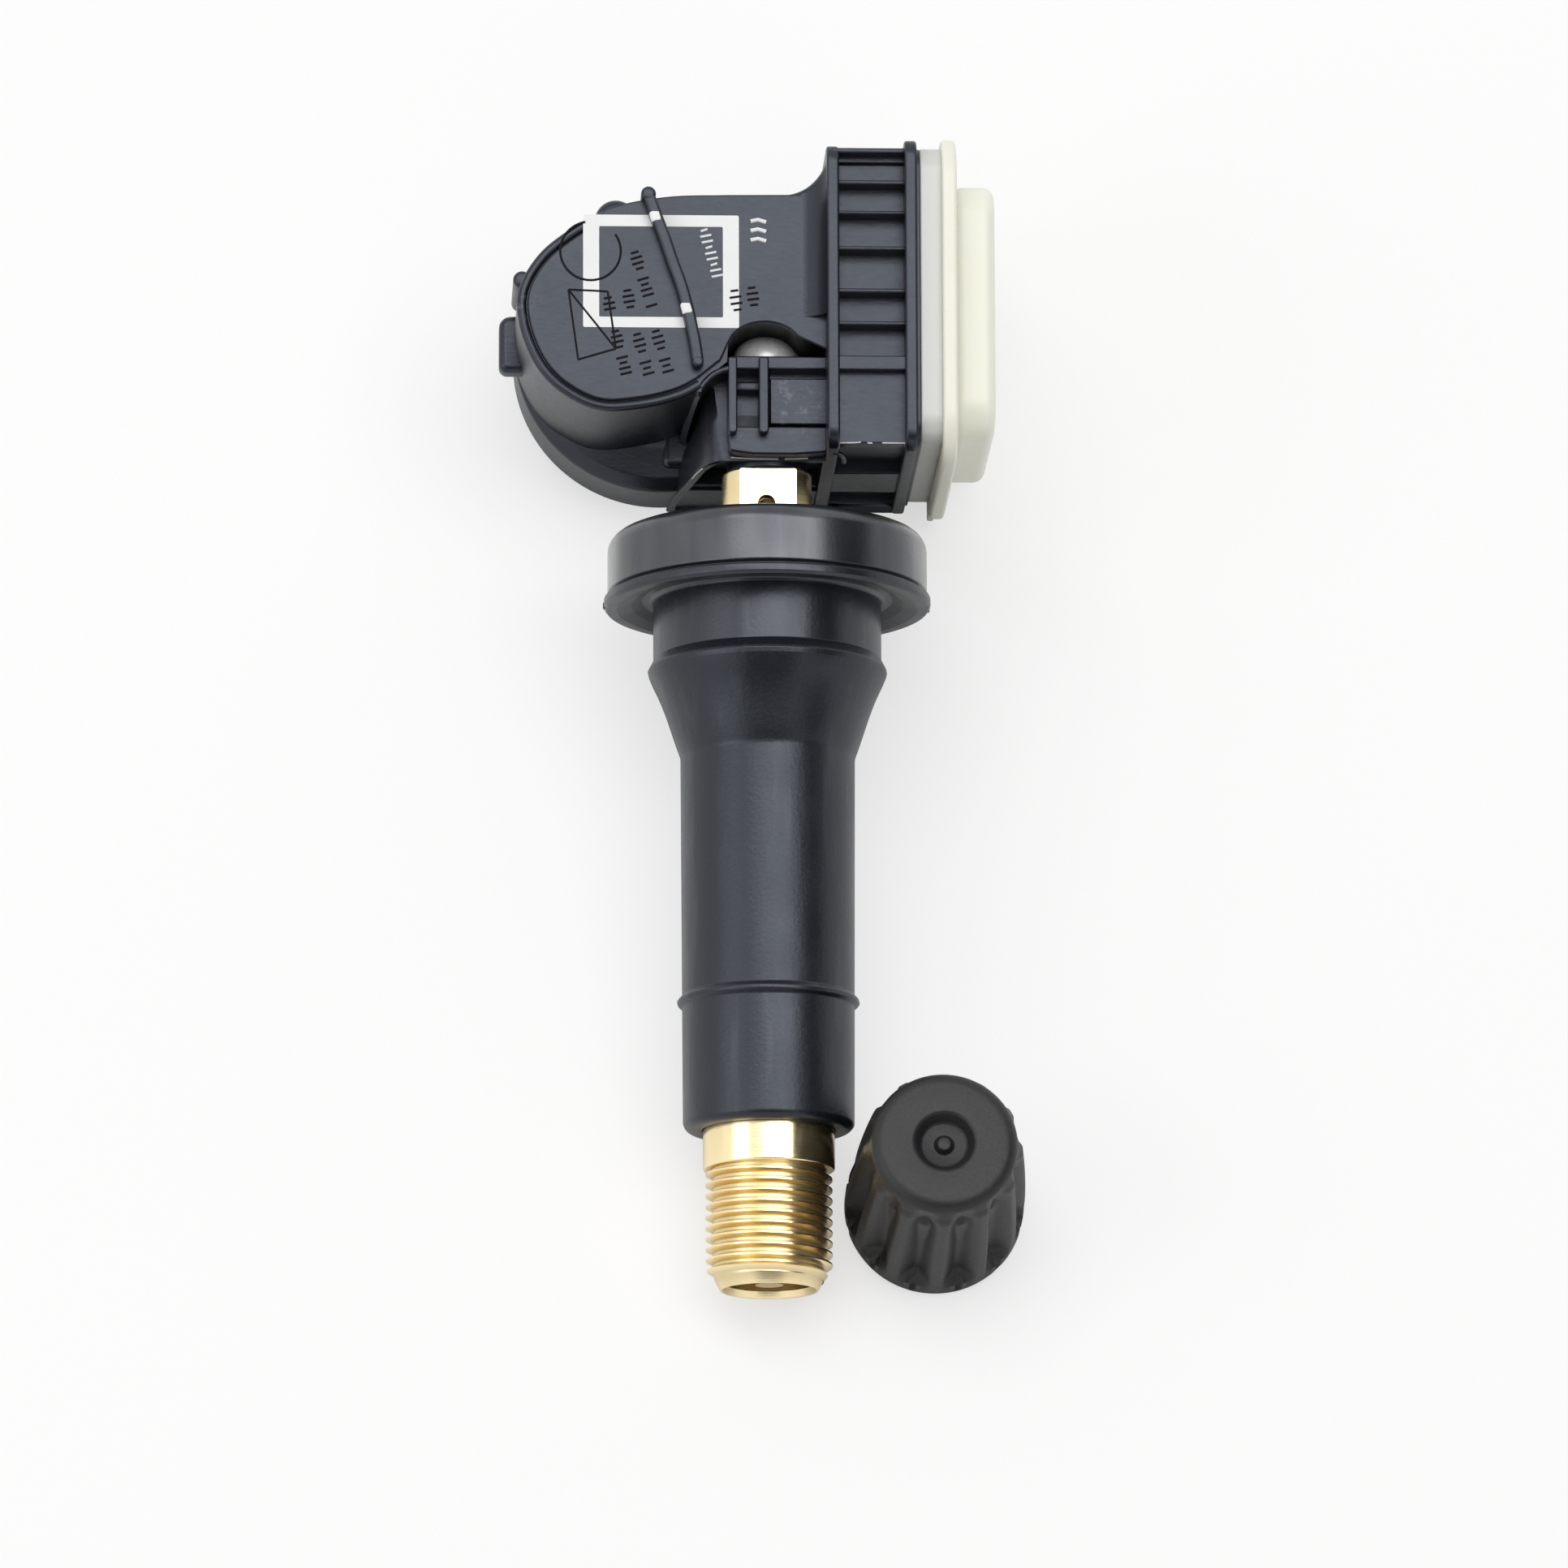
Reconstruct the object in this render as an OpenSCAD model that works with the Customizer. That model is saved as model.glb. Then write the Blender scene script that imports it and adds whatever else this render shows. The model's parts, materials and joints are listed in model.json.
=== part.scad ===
// Tyre pressure sensor on a snap-in rubber valve, lying beside its valve cap.
// Every piece but the cap is drawn about the valve stem: the stem lies along Y with its
// mouth towards -Y, and Z points away from the ground. The laid() module then tips the
// stem down until the thread and the flange touch the ground.

/* [Rubber] */
// Radius of the flange that seals against the rim
flange_r = 10; // [9:0.1:11]
// Thickness of the flange
flange_t = 4.05; // [3.8:0.05:4.4]
// Edge round at the back of the flange
flange_round = 1.1; // [0.6:0.1:1.3]
// Distance of the groove behind the sealing lip, behind the seat
lip_t = 0.2; // [0.1:0.05:0.4]
// Distance of the lip's widest edge in front of the seat
lip_y = 0.35; // [0.2:0.05:0.5]
// How far the lip stands out from the flange
lip_h = 0.22; // [0.1:0.02:0.4]
// Radius of the groove that grips the rim
groove_r = 6.95; // [6.6:0.05:7.1]
// Length of the groove, which is the rim thickness it takes
groove_len = 3.8; // [3:0.1:4.5]
// Largest radius of the snap bulge in front of the groove
bulge_r = 7.3; // [7.25:0.05:7.8]
// Radius of the neck at the foot of the bulge
neck_r = 5.3; // [5.2:0.05:5.8]
// Distance from the seat to the foot of the bulge
neck_y = 9.9; // [9:0.1:12]
// Radius of the rubber at its front end
rubber_end_r = 5.18; // [5:0.02:5.2]
// Distance from the seat to the front end of the rubber
rubber_len = 33; // [30:0.5:36]
// Distance from the seat to the raised bead
bead_y = 25.1; // [22:0.1:27]
// How far the bead stands out
bead_h = 0.3; // [0.2:0.05:0.5]

/* [Brass stem] */
// Radius of the brass tube inside the rubber
tube_r = 2.75; // [2.6:0.05:3]
// Distance from the seat to the shoulder that meets the housing
stem_back = 7.9; // [7:0.1:8.5]
// Radius of the spigot that enters the housing
spigot_r = 2.3; // [2.1:0.05:2.45]
// Length of the spigot
spigot_len = 3.6; // [3:0.1:4]
// Radius of the plain collar between rubber and thread
collar_r = 4.02; // [4.02:0.02:4.1]
// Length of the collar that shows in front of the rubber
collar_len = 2.4; // [2:0.1:3]
// Length of the groove between collar and thread
relief_len = 0.4; // [0.3:0.05:0.6]
// Depth of that groove below the thread
relief_d = 0.35; // [0.2:0.05:0.5]
// Outer radius of the valve cap thread
thread_r = 3.85; // [3.7:0.01:3.86]
// Length of the threaded end
thread_len = 6.2; // [5.5:0.1:8]
// Length of the chamfered mouth in front of the thread
mouth_len = 0.8; // [0.5:0.1:1]
// Depth of the chamfer at the mouth
mouth_cut = 0.98; // [0.8:0.02:1.1]
// Radius of the threaded bore that takes the valve core
core_bore_r = 2.62; // [2.5:0.02:2.7]
// Radius of the bore past the core seat
seat_bore_r = 1.95; // [1.9:0.01:2]
// Radius of the air passage
air_r = 1.25; // [1:0.05:1.3]
// Radius of the cross hole that lets the air into the tyre
cross_r = 0.5; // [0.4:0.05:0.6]

/* [Valve core] */
// Radius of the core pin
pin_r = 0.5; // [0.4:0.05:0.55]
// Radius of the swaged end of the core pin
pin_head_r = 0.85; // [0.6:0.05:1]
// Travel of the core pin
pin_travel = 1; // [0.6:0.1:1.2]
// Length of the core plug
plug_len = 4; // [3.5:0.1:4.2]
// Length of the core barrel
barrel_len = 5.4; // [5:0.1:6]
// Outer radius of the core barrel
barrel_r = 1.7; // [1.6:0.02:1.74]
// Turns of the core spring
spring_turns = 6; // [4:1:7]
// Wire radius of the core spring
spring_wire = 0.13; // [0.1:0.01:0.15]

/* [Housing] */
// Length of the end frame along the stem
frame_len = 19.25; // [18.5:0.05:20.5]
// Height of the end frame above the stem axis
frame_top = 7; // [6.6:0.1:7.6]
// Position of the inner flange of the end frame
frame_x = 3.45; // [3.3:0.05:4]
// Distance between the outsides of the two frame flanges
frame_w = 5.5; // [5.2:0.05:6]
// Thickness of a frame flange
flange_w = 0.75; // [0.5:0.05:0.8]
// Depth of the pockets between the ribs
pocket_d = 1.7; // [1:0.1:1.9]
// Thickness of a frame rib
rib_t = 0.3; // [0.3:0.05:0.6]
// Distance from the stem axis to the marked face
face_z = 5; // [4.6:0.1:5.4]
// Radius of the rounded end of the marked face
lobe_r = 6.15; // [5.9:0.05:6.5]
// Radius of the battery drum
drum_r = 9.1; // [9:0.05:9.6]
// Height of the battery drum up to its shoulder
drum_h = 5.2; // [4.8:0.1:5.4]
// Wall of the housing
wall = 1.2; // [1:0.05:1.3]
// Width of the curved rib across the marked face
bow_w = 0.75; // [0.5:0.05:1]
// How far the curved rib stands out
bow_h = 1; // [0.6:0.1:1.4]
// Bend radius of the curved rib
bow_r = 70; // [60:5:100]

/* [End cover] */
// Thickness of the cover plate
cover_plate_t = 1.3; // [1:0.1:1.6]
// Thickness of the cover's outer band
cover_band_t = 0.9; // [0.7:0.1:1.2]
// How far the cover's plateau stands out
cover_rise = 2.5; // [2:0.1:3]
// How far the band stands out past the frame
cover_lip = 0.65; // [0.4:0.05:0.8]
// Wall of the cover
cover_wall = 1; // [0.8:0.1:1.2]

/* [Inside] */
// Diameter of the coin cell
cell_d = 16; // [14:0.5:16]
// Thickness of the coin cell
cell_t = 3.2; // [2.5:0.1:3.2]
// Thickness of the circuit board
board_t = 0.8; // [0.6:0.1:1]
// Radius of the retaining screw's head
screw_head_r = 2.15; // [2:0.05:2.2]
// Height of the retaining screw's head
screw_head_h = 1.9; // [1.4:0.1:2.1]
// Radius of the retaining screw's shank
screw_r = 1.2; // [1:0.05:1.2]

/* [Cap] */
// Radius of the cap at its open end
cap_r = 5.45; // [5.2:0.05:5.8]
// Radius of the cap at its closed end
cap_top_r = 4.35; // [4.1:0.05:4.6]
// Height of the cap
cap_h = 13.2; // [12:0.1:14]
// Height of the plain skirt
skirt_h = 2.2; // [1.8:0.1:3]
// Number of flutes round the cap
flutes = 12; // [8:1:16]
// Radius of a flute
flute_r = 1.0; // [0.8:0.05:1.1]
// Position of the cap to the side of the stem
cap_x = 10.2; // [10:0.1:14]
// Distance of the cap behind the mouth of the stem
cap_back = 6.4; // [6:0.1:14]

/* [Hidden] */
$fn = 64;
eps = 0.01;
bond = 0.02;
fit_gap = 0.05;
seat_gap = 0.04;

// Stem stations, measured from the rim seat towards the mouth
collar_y = rubber_len + collar_len;
relief_y = collar_y + relief_len;
thread_y = relief_y + thread_len;
tip_y = thread_y + mouth_len;
collar_in = 1.5;
mouth_r = thread_r - mouth_cut;
spigot_flat = 0.4;
cross_back = 2.4;
pin_y = tip_y - 0.35;
pin_head_len = 0.6;
plug_y = pin_y - pin_head_len - pin_travel - 0.2;
barrel_y = plug_y - plug_len;
cup_y = barrel_y - barrel_len;
seat_len = 1.4;
seat_y = barrel_y - 0.4;
cup_t = 1;
cup_r = seat_bore_r - 0.35;
cup_room_y = cup_y - cup_t - pin_travel - 1;

// Ground plane, from the thread's end to the sealing lip of the flange
lay_deg = atan((flange_r - thread_r) / (thread_y - lip_y));
ground_z = -flange_r * cos(lay_deg) - lip_y * sin(lay_deg);
function ground_under(y) = -flange_r - (y + lip_y) * tan(lay_deg);

// Housing stations
frame_y = 8;
frame_end = frame_y + frame_len;
frame_bot = ground_under(frame_y) + bond;
frame_out = frame_x + frame_w;
step_t = 0.2;
cover_x = frame_out + step_t;
frame_round = 1.2;
channel_z = frame_bot + wall;
cell_clear = 0.2;
channel_top = channel_z + cell_t + 2 * cell_clear + 0.3;
bay_y = frame_y + 2.3;
bay_end = frame_end - 2.3;
bay_top = frame_top - pocket_d - 1.1;
ledge = 0.5;
ledge_x = cover_x - 1.75;
drum_x = -6.3;
drum_y = frame_y + 9.4;
drum_z = frame_bot + 0.2;
lobe_x = drum_x - 2.8;
lobe_y = drum_y - 0.1;
lobe_end = lobe_y + lobe_r;
side_y = lobe_y + 6.8;
bow_mid = [lobe_x + 3.58, lobe_y + 1.74];
bow_tilt = 17.9;
bow_len = 11.2;
shoulder_h = 1.1;
shoulder_in = 1.6;
front_edge = [[-2.6, 3.35], [-3.6, 1.65], [-4.2, 0], [-4.7, -3], [-5.05, -5.1], [-5.6, -8.1]];
port_z = -2;
rib_gaps = [2.0, 1.9, 2.3, 2.6, 2.1];
rib_z = frame_top - 0.35;

// Tower that holds the stem, with the screw behind it
tower_x = -2.55;
tower_y = stem_back + bond;
tower_end = stem_back + 6.5;
tower_z = 4;
tower_rib = 0.65;
pocket_end = tower_end + screw_head_h + 0.25;
screw_tip = stem_back - 1.2;

// Cap on the ground and its inside
cap_y = cap_back - tip_y * cos(lay_deg);
cap_bore_r = thread_r + 0.12;
cap_bore_h = cap_h - 3.2;
washer_t = 0.9;

// Helpers

module laid() {
    rotate([lay_deg, 0, 0]) children();
}

// Turns a solid drawn along Z so that it runs along the stem from distance y in front of
// the seat, towards the mouth
module forward(y) {
    translate([0, -y, 0]) rotate([90, 0, 0]) children();
}

// The same, towards the housing from distance y behind the seat
module backward(y) {
    translate([0, y, 0]) rotate([-90, 0, 0]) children();
}

// Box between two corners
module span(a, b) {
    translate(a) cube(b - a);
}

// Rectangle between two corners with round corners
module plate2d(a, b, r) {
    translate([a[0] + r, a[1]]) square([b[0] - a[0] - 2 * r, b[1] - a[1]]);
    translate([a[0], a[1] + r]) square([b[0] - a[0], b[1] - a[1] - 2 * r]);
    for (x = [a[0] + r, b[0] - r], y = [a[1] + r, b[1] - r]) translate([x, y]) circle(r);
}

// Plate in the YZ plane between two corners, from x towards +X
module side_plate(x, t, a, b, r) {
    translate([x, 0, 0]) rotate([90, 0, 90]) linear_extrude(t) plate2d(a, b, r);
}

// Ring between two radii
module ring(r_out, r_in, h) {
    difference() {
        cylinder(r = r_out, h = h);
        translate([0, 0, -eps]) cylinder(r = r_in, h = h + 2 * eps);
    }
}

// Points of an arc
function arc(c, r, a0, a1, n) =
    [for (i = [0:n]) c + r * [cos(a0 + (a1 - a0) * i / n), sin(a0 + (a1 - a0) * i / n)]];

// Sum of the first n values
function sum_to(v, n) = n == 0 ? 0 : v[n - 1] + sum_to(v, n - 1);

// Valve rubber

// Half section of the rubber, radius across and distance from the seat upwards
module rubber_section() {
    back = flange_r - lip_h;
    foot = flange_t - flange_round;
    lip_cut = 0.1;
    lip_face = lip_y + 2 * lip_cut;
    cove = 0.7;
    bulge_y = groove_len + 0.7;
    slope_y = bulge_y + 0.25;
    bead_base = neck_r + (rubber_end_r - neck_r) * (bead_y - neck_y) / (rubber_len - neck_y);
    bead_r = 0.35;
    polygon(concat([[0, -flange_t]],
        // Flange with a round back edge, then the sealing lip and its dished face
        arc([back - flange_round, -foot], flange_round, -90, 0, 8),
        [[back, -lip_t - lip_cut], [flange_r, -lip_t + lip_cut], [flange_r, lip_y],
            [flange_r - 1.5 * lip_cut, lip_face], [flange_r - 0.8, lip_face],
            [flange_r - 1.7, 0.3]],
        // Cove into the groove, and snap bulge
        [for (a = [90:-18:0]) [groove_r + cove * (1 - cos(a)), cove * (1 - sin(a))]],
        [[groove_r, groove_len], [bulge_r - 0.06, bulge_y - 0.15], [bulge_r, bulge_y],
            [bulge_r - 0.06, slope_y]],
        // Hollow cone down to the neck
        [for (i = [1:5]) let (k = i / 6)
            [neck_r + (bulge_r - neck_r) * (1 - k) * (1 - 0.12 * sin(180 * k)),
                slope_y + (neck_y - slope_y) * k]],
        // Neck, raised bead and round front end
        [[neck_r, neck_y]],
        arc([bead_base + bead_h - bead_r, bead_y], bead_r, -80, 80, 8),
        arc([rubber_end_r - 0.5, rubber_len - 0.5], 0.5, 0, 90, 4),
        [[0, rubber_len]]));
}

module rubber_body() {
    color("#2b2f36") laid() difference() {
        forward(0) rotate_extrude() rubber_section();
        forward(-flange_t - 1) cylinder(r = tube_r + bond, h = flange_t + rubber_len + 2);
        forward(rubber_len - collar_in - bond) cylinder(r = collar_r + bond, h = collar_in + 1);
    }
}

module brass_stem() {
    color("#d9a441") laid() difference() {
        union() {
            backward(-rubber_len) cylinder(r = tube_r, h = rubber_len + stem_back);
            intersection() {
                backward(stem_back - eps) cylinder(r = spigot_r, h = spigot_len + eps);
                span([-spigot_r, 0, spigot_flat - spigot_r],
                    [spigot_r, stem_back + 2 * spigot_len, spigot_r - spigot_flat]);
            }
            forward(rubber_len - collar_in) cylinder(r = collar_r, h = collar_in + collar_len);
            forward(collar_y - eps) cylinder(r = thread_r - relief_d, h = relief_len + 2 * eps);
            forward(relief_y) cylinder(r = thread_r, h = thread_len);
            forward(thread_y - eps) cylinder(r1 = thread_r - 0.3, r2 = mouth_r, h = mouth_len + eps);
        }
        // Core bore, tapered seat, cup room and air passage
        forward(seat_y) cylinder(r = core_bore_r, h = tip_y);
        forward(seat_y - seat_len) cylinder(r1 = seat_bore_r, r2 = core_bore_r, h = seat_len + eps);
        forward(cup_room_y) cylinder(r = seat_bore_r, h = seat_y - cup_room_y);
        backward(-rubber_len) cylinder(r = air_r, h = rubber_len + stem_back + 2 * spigot_len);
        translate([0, stem_back - cross_back, 0]) cylinder(r = cross_r, h = 2 * tube_r);
    }
}

// Valve core

module core_plug() {
    low = plug_len * 0.45;
    color("#cfd2d4") laid() forward(barrel_y) difference() {
        union() {
            cylinder(r = core_bore_r - seat_gap, h = low);
            intersection() {
                cylinder(r = core_bore_r - seat_gap, h = plug_len);
                translate([-4, -0.9, 0]) cube([8, 1.8, plug_len]);
            }
        }
        translate([0, 0, -1]) cylinder(r = pin_r + fit_gap, h = plug_len + 2);
        for (s = [-1, 1]) translate([0, s * 1.6, -1]) cylinder(r = 0.45, h = plug_len + 2);
    }
}

module core_barrel() {
    floor_t = 0.8;
    color("#c9a24a") laid() forward(cup_y) difference() {
        union() {
            cylinder(r = barrel_r, h = barrel_len);
            translate([0, 0, barrel_len - 0.4]) cylinder(r = core_bore_r - 0.3, h = 0.4);
        }
        translate([0, 0, floor_t]) cylinder(r = barrel_r - 0.4, h = barrel_len);
        translate([0, 0, -1]) cylinder(r = pin_r + 0.25, h = 4);
    }
}

module core_seal() {
    t = seat_len - 0.3;
    slope = (core_bore_r - seat_bore_r) / seat_len;
    color("#b03a2e") laid() forward(seat_y - 0.1 - t) difference() {
        cylinder(r1 = core_bore_r - slope * (t + 0.1) - seat_gap,
            r2 = core_bore_r - slope * 0.1 - seat_gap, h = t);
        translate([0, 0, -1]) cylinder(r = barrel_r + bond, h = t + 2);
    }
}

// Pin with the collar that the spring pushes on
module core_pin() {
    color("#d9b25a") laid() forward(cup_y - cup_t) {
        cylinder(r = pin_r, h = pin_y - cup_y + cup_t);
        translate([0, 0, pin_y - pin_head_len - cup_y + cup_t])
            cylinder(r = pin_head_r, h = pin_head_len);
        translate([0, 0, cup_t + barrel_len - 0.55]) cylinder(r = barrel_r - 0.55, h = 0.35);
    }
}

module core_cup() {
    color("#c9a24a") laid() forward(cup_y - cup_t) difference() {
        cylinder(r = cup_r, h = cup_t - 0.05);
        translate([0, 0, -1]) cylinder(r = pin_r + bond, h = cup_t + 2);
        translate([0, 0, cup_t - 0.4]) ring(cup_r - 0.15, pin_r + 0.25, 1);
    }
}

module cup_seal() {
    color("#222426") laid() forward(cup_y - 0.4) ring(cup_r - 0.17, pin_r + 0.27, 0.4);
}

// Round wire along a helix
module helix_wire(r, wire, turns, h, sides, steps) {
    n = round(turns * steps);
    pts = [for (i = [0:n], j = [0:sides - 1])
        let (a = 360 * i / steps, b = 360 * j / sides, q = r + wire * cos(b))
        [q * cos(a), q * sin(a), wire + (h - 2 * wire) * i / n + wire * sin(b)]];
    skin = [for (i = [0:n - 1], j = [0:sides - 1])
        let (k = (j + 1) % sides)
        [i * sides + j, (i + 1) * sides + j, (i + 1) * sides + k, i * sides + k]];
    ends = [[for (j = [0:sides - 1]) j], [for (j = [0:sides - 1]) n * sides + sides - 1 - j]];
    polyhedron(concat(pts), concat(skin, ends));
}

module core_spring() {
    room = barrel_len - 0.8 - 0.55 - 2 * seat_gap;
    color("#b9bdc0") laid() forward(cup_y + 0.8 + seat_gap)
        helix_wire(barrel_r - 0.4 - 0.1 - 2 * spring_wire, spring_wire, spring_turns, room, 6, 18);
}

// Housing

// Outline of the marked face, seen from above
module face_outline(grow = 0) {
    translate([lobe_x, lobe_y]) circle(lobe_r + grow, $fn = 96);
    polygon([[lobe_x, lobe_end + grow], [lobe_x + 3, side_y + grow], [frame_x + 0.2, side_y + grow],
        [frame_x + 0.2, pocket_end], [tower_x, pocket_end], [tower_x, lobe_y - 4],
        [tower_x - 1.6, lobe_y - 4.8 - grow], [lobe_x + 3.3, lobe_y - 5.65 - grow],
        [lobe_x + 0.5, lobe_y - lobe_r - grow]]);
}

// Drum round the coin cell, with a round bottom edge and a sloping shoulder
module drum_solid() {
    e = 0.9;
    translate([drum_x, drum_y, drum_z]) rotate_extrude($fn = 128) {
        square([drum_r - e, drum_h]);
        translate([0, e]) square([drum_r, drum_h - e]);
        translate([drum_r - e, e]) circle(e);
        polygon([[0, drum_h - eps], [drum_r, drum_h - eps],
            [drum_r - 0.2 * shoulder_in, drum_h + 0.45 * shoulder_h],
            [drum_r - shoulder_in, drum_h + shoulder_h], [0, drum_h + shoulder_h]]);
    }
}

// Front of the housing, which flares from the tower down to the ground
module front_wall() {
    translate([0, lobe_y, 0]) rotate([90, 0, 0]) linear_extrude(lobe_y - tower_y)
        polygon(concat([[frame_x + 0.1, drum_z + 0.4], [frame_x + 0.1, tower_z],
            [tower_x, tower_z]], front_edge, [[drum_x, drum_z + 0.4]]));
}

// Concave flare from the neck up to the frame, above the marked face and at the far side
module neck_flare() {
    r = frame_top - face_z + 0.6;
    difference() {
        span([frame_x - r, pocket_end, -4], [frame_x + 0.1, side_y + r - 0.3, face_z + r - 0.6]);
        translate([frame_x - r, 0, face_z + r]) rotate([-90, 0, 0]) cylinder(r = r, h = 2 * frame_len);
        translate([frame_x - r, side_y + r, frame_bot]) cylinder(r = r, h = 2 * frame_len);
    }
}

// End frame: a core between two flanges, with ribs across the top and the far side
module end_frame() {
    core_a = [frame_y + 1.1, frame_bot + 0.3];
    core_b = [frame_end - 0.7, frame_top - pocket_d];
    side_plate(frame_x, flange_w, [frame_y, frame_bot], [frame_end, frame_top], frame_round);
    side_plate(frame_out - flange_w, flange_w, [frame_y, frame_bot],
        [frame_end + 0.2, frame_top + 0.2], frame_round);
    side_plate(frame_out - eps, step_t + eps, [frame_y + 0.3, frame_bot + 0.25],
        [frame_end - 0.4, frame_top - 0.4], frame_round);
    side_plate(frame_x + eps, frame_w - 2 * eps, core_a, core_b, frame_round);
    // Full band round the battery
    side_plate(frame_x + eps, frame_w - 2 * eps, [frame_y + 0.15, frame_bot + 0.15],
        [frame_end - 0.15, channel_top + 0.5], 0.8);
    // Ribs that stand in the pockets, top and far side
    for (i = [0:len(rib_gaps)])
        let (y = frame_end - 0.35 - sum_to(rib_gaps, i))
        span([frame_x + eps, y - rib_t, frame_top - pocket_d - 1],
            [frame_out - eps, y, rib_z]);
    span([frame_x + eps, frame_end - sum_to(rib_gaps, 5) - 3.38, frame_top - pocket_d - 1],
        [frame_out - eps, frame_end - sum_to(rib_gaps, 5) - 2.48, rib_z]);
    for (z = [-1.4, 2.2]) for (y = [frame_y + 0.45, frame_end - 1.6])
        span([frame_x + eps, y, z], [frame_out - eps, y + 1.15, z + rib_t * 1.5]);
    // Raised floor of the last pocket
    span([frame_x + eps, frame_y + 0.3, frame_top - pocket_d - 1],
        [frame_out - eps, frame_y + 4.2, frame_top - 1.1]);
}

// Ribbed tower on the stem axis
module tower() {
    rib_end = tower_y + 1.8;
    step_y = tower_y + 2.1;
    well_y = tower_y + 3.2;
    difference() {
        span([tower_x, tower_y, -5.5], [frame_x + 0.1, tower_end, tower_z + 0.45]);
        // Slot behind the cross bar, plate recess, and the deep well between the ribs
        span([tower_x + tower_rib, tower_end - 1.6, tower_z - 1.2],
            [frame_x, tower_end - 0.95, tower_z + 2]);
        span([0.1, step_y, tower_z - 0.15], [frame_x, tower_end - 0.9, tower_z + 2]);
        span([tower_x + tower_rib, well_y, tower_z - 1.3], [-0.5, well_y + 1.2, tower_z + 2]);
        span([tower_x + tower_rib, step_y, tower_z - 0.6], [-0.5, well_y + eps, tower_z + 2]);
        // Low block in front of the ribs
        span([tower_x - eps, tower_y - eps, tower_z], [frame_x, step_y, tower_z + 2]);
    }
    for (x = [tower_x, tower_x + 1.9]) {
        span([x, rib_end, tower_z - 1.3], [x + tower_rib, tower_end, tower_z + 0.85]);
        translate([x + tower_rib / 2, rib_end, tower_z - 1.3])
            cylinder(r = tower_rib / 2, h = 2.15);
    }
}

// Edge of the face's wall, which curves into the tower at the top and leans out to the drum
// at its foot
module fin() {
    t = 0.45;
    top = [[tower_x + 0.1, tower_end - 1.1], [tower_x - 0.8, tower_end - 1.35],
        [tower_x - 1.35, tower_end - 1.8], [tower_x - 1.75, tower_end - 2.3]];
    foot = [tower_x - 2.55, tower_end - 3.4, drum_z + drum_h];
    h = face_z - foot[2];
    for (i = [0:2]) {
        way = top[i + 1] - top[i];
        translate([top[i][0], top[i][1], foot[2]]) rotate([0, 0, atan2(way[1], way[0])])
            translate([0, -t / 2, 0]) cube([norm(way) + t / 3, t, h - 0.15]);
    }
    // Leaning edge, as a three-sided wedge between the corner and its foot
    side = foot - [top[3][0], top[3][1], foot[2]];
    translate([top[3][0], top[3][1], foot[2]]) rotate([0, 0, atan2(side[1], side[0])])
        rotate([90, 0, 0]) translate([0, 0, -t / 2]) linear_extrude(t)
            polygon([[-0.2, 0], [norm(side), 0], [0.1, h - 0.15], [-0.2, h - 0.15]]);
}

// Curved rib across the marked face, with a round end past its edge
module bow_rib() {
    translate([bow_mid[0], bow_mid[1], face_z - 1]) rotate([0, 0, bow_tilt]) {
        intersection() {
            translate([-bow_r, 0, 0]) ring(bow_r + bow_w / 2, bow_r - bow_w / 2, 1 + bow_h, $fn = 256);
            translate([-bow_w * 2, -bow_len / 2, 0]) cube([bow_w * 4, bow_len, 2 + bow_h]);
        }
        translate([-0.2, bow_len / 2, 0]) cylinder(r = bow_w * 0.6, h = 1 + bow_h);
    }
}

module housing() {
    color("#3c3f45") laid() difference() {
        union() {
            translate([0, 0, drum_z + drum_h]) linear_extrude(face_z - drum_z - drum_h)
                face_outline();
            // Raised lip round the marked face
            translate([0, 0, face_z - 1.2]) linear_extrude(1.2) face_outline(0.3);
            drum_solid();
            // Straight sides of the drum, up to the end frame
            translate([0, 0, drum_z]) span([drum_x, drum_y - drum_r + 0.4, 0.4],
                [frame_x + 0.1, drum_y + drum_r - 0.4, drum_h]);
            front_wall();
            span([tower_x, tower_y, -6], [frame_x + 0.1, lobe_y, -2.45]);
            neck_flare();
            end_frame();
            tower();
            fin();
            bow_rib();
            // Side tab and moulding nubs
            span([drum_x - drum_r - 1, drum_y - 2.4, -3.8], [drum_x - drum_r + 2.5, drum_y + 1.2, -2.2]);
            translate([lobe_x - lobe_r + 0.25, lobe_y + 2.7, -5]) cylinder(r = 0.6, h = 6);
            translate([lobe_x - 0.2, lobe_end - 0.3, -5]) cylinder(r = 1.3, h = 9);
        }
        // Room for the coin cell, open towards the cover
        translate([drum_x, drum_y, channel_z])
            cylinder(r = cell_d / 2 + cell_clear, h = channel_top - channel_z);
        span([drum_x, drum_y - cell_d / 2 - cell_clear, channel_z],
            [cover_x + 1, drum_y + cell_d / 2 + cell_clear, channel_top]);
        // Room for the board
        span([frame_x + flange_w, bay_y, channel_z], [cover_x + 1, bay_end, bay_top]);
        span([ledge_x, bay_y - ledge, channel_z], [cover_x + 1, bay_end + ledge, bay_top + ledge]);
        // Spigot socket, screw hole and the open pocket of the screw's head
        difference() {
            backward(0) cylinder(r = spigot_r + fit_gap, h = stem_back + spigot_len + 0.1);
            for (s = [-1, 1]) translate([0, stem_back, s * (spigot_r + 1 - spigot_flat + fit_gap)])
                cube([4 * spigot_r, 4 * spigot_len + 2, 2], center = true);
        }
        backward(0) cylinder(r = screw_r + 0.1, h = pocket_end);
        backward(tower_end) cylinder(r = screw_head_r + 0.2, h = pocket_end - tower_end);
        span([-screw_head_r - 0.2, tower_end, 0],
            [screw_head_r + 0.2, pocket_end, frame_top + 2]);
    }
}

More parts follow.
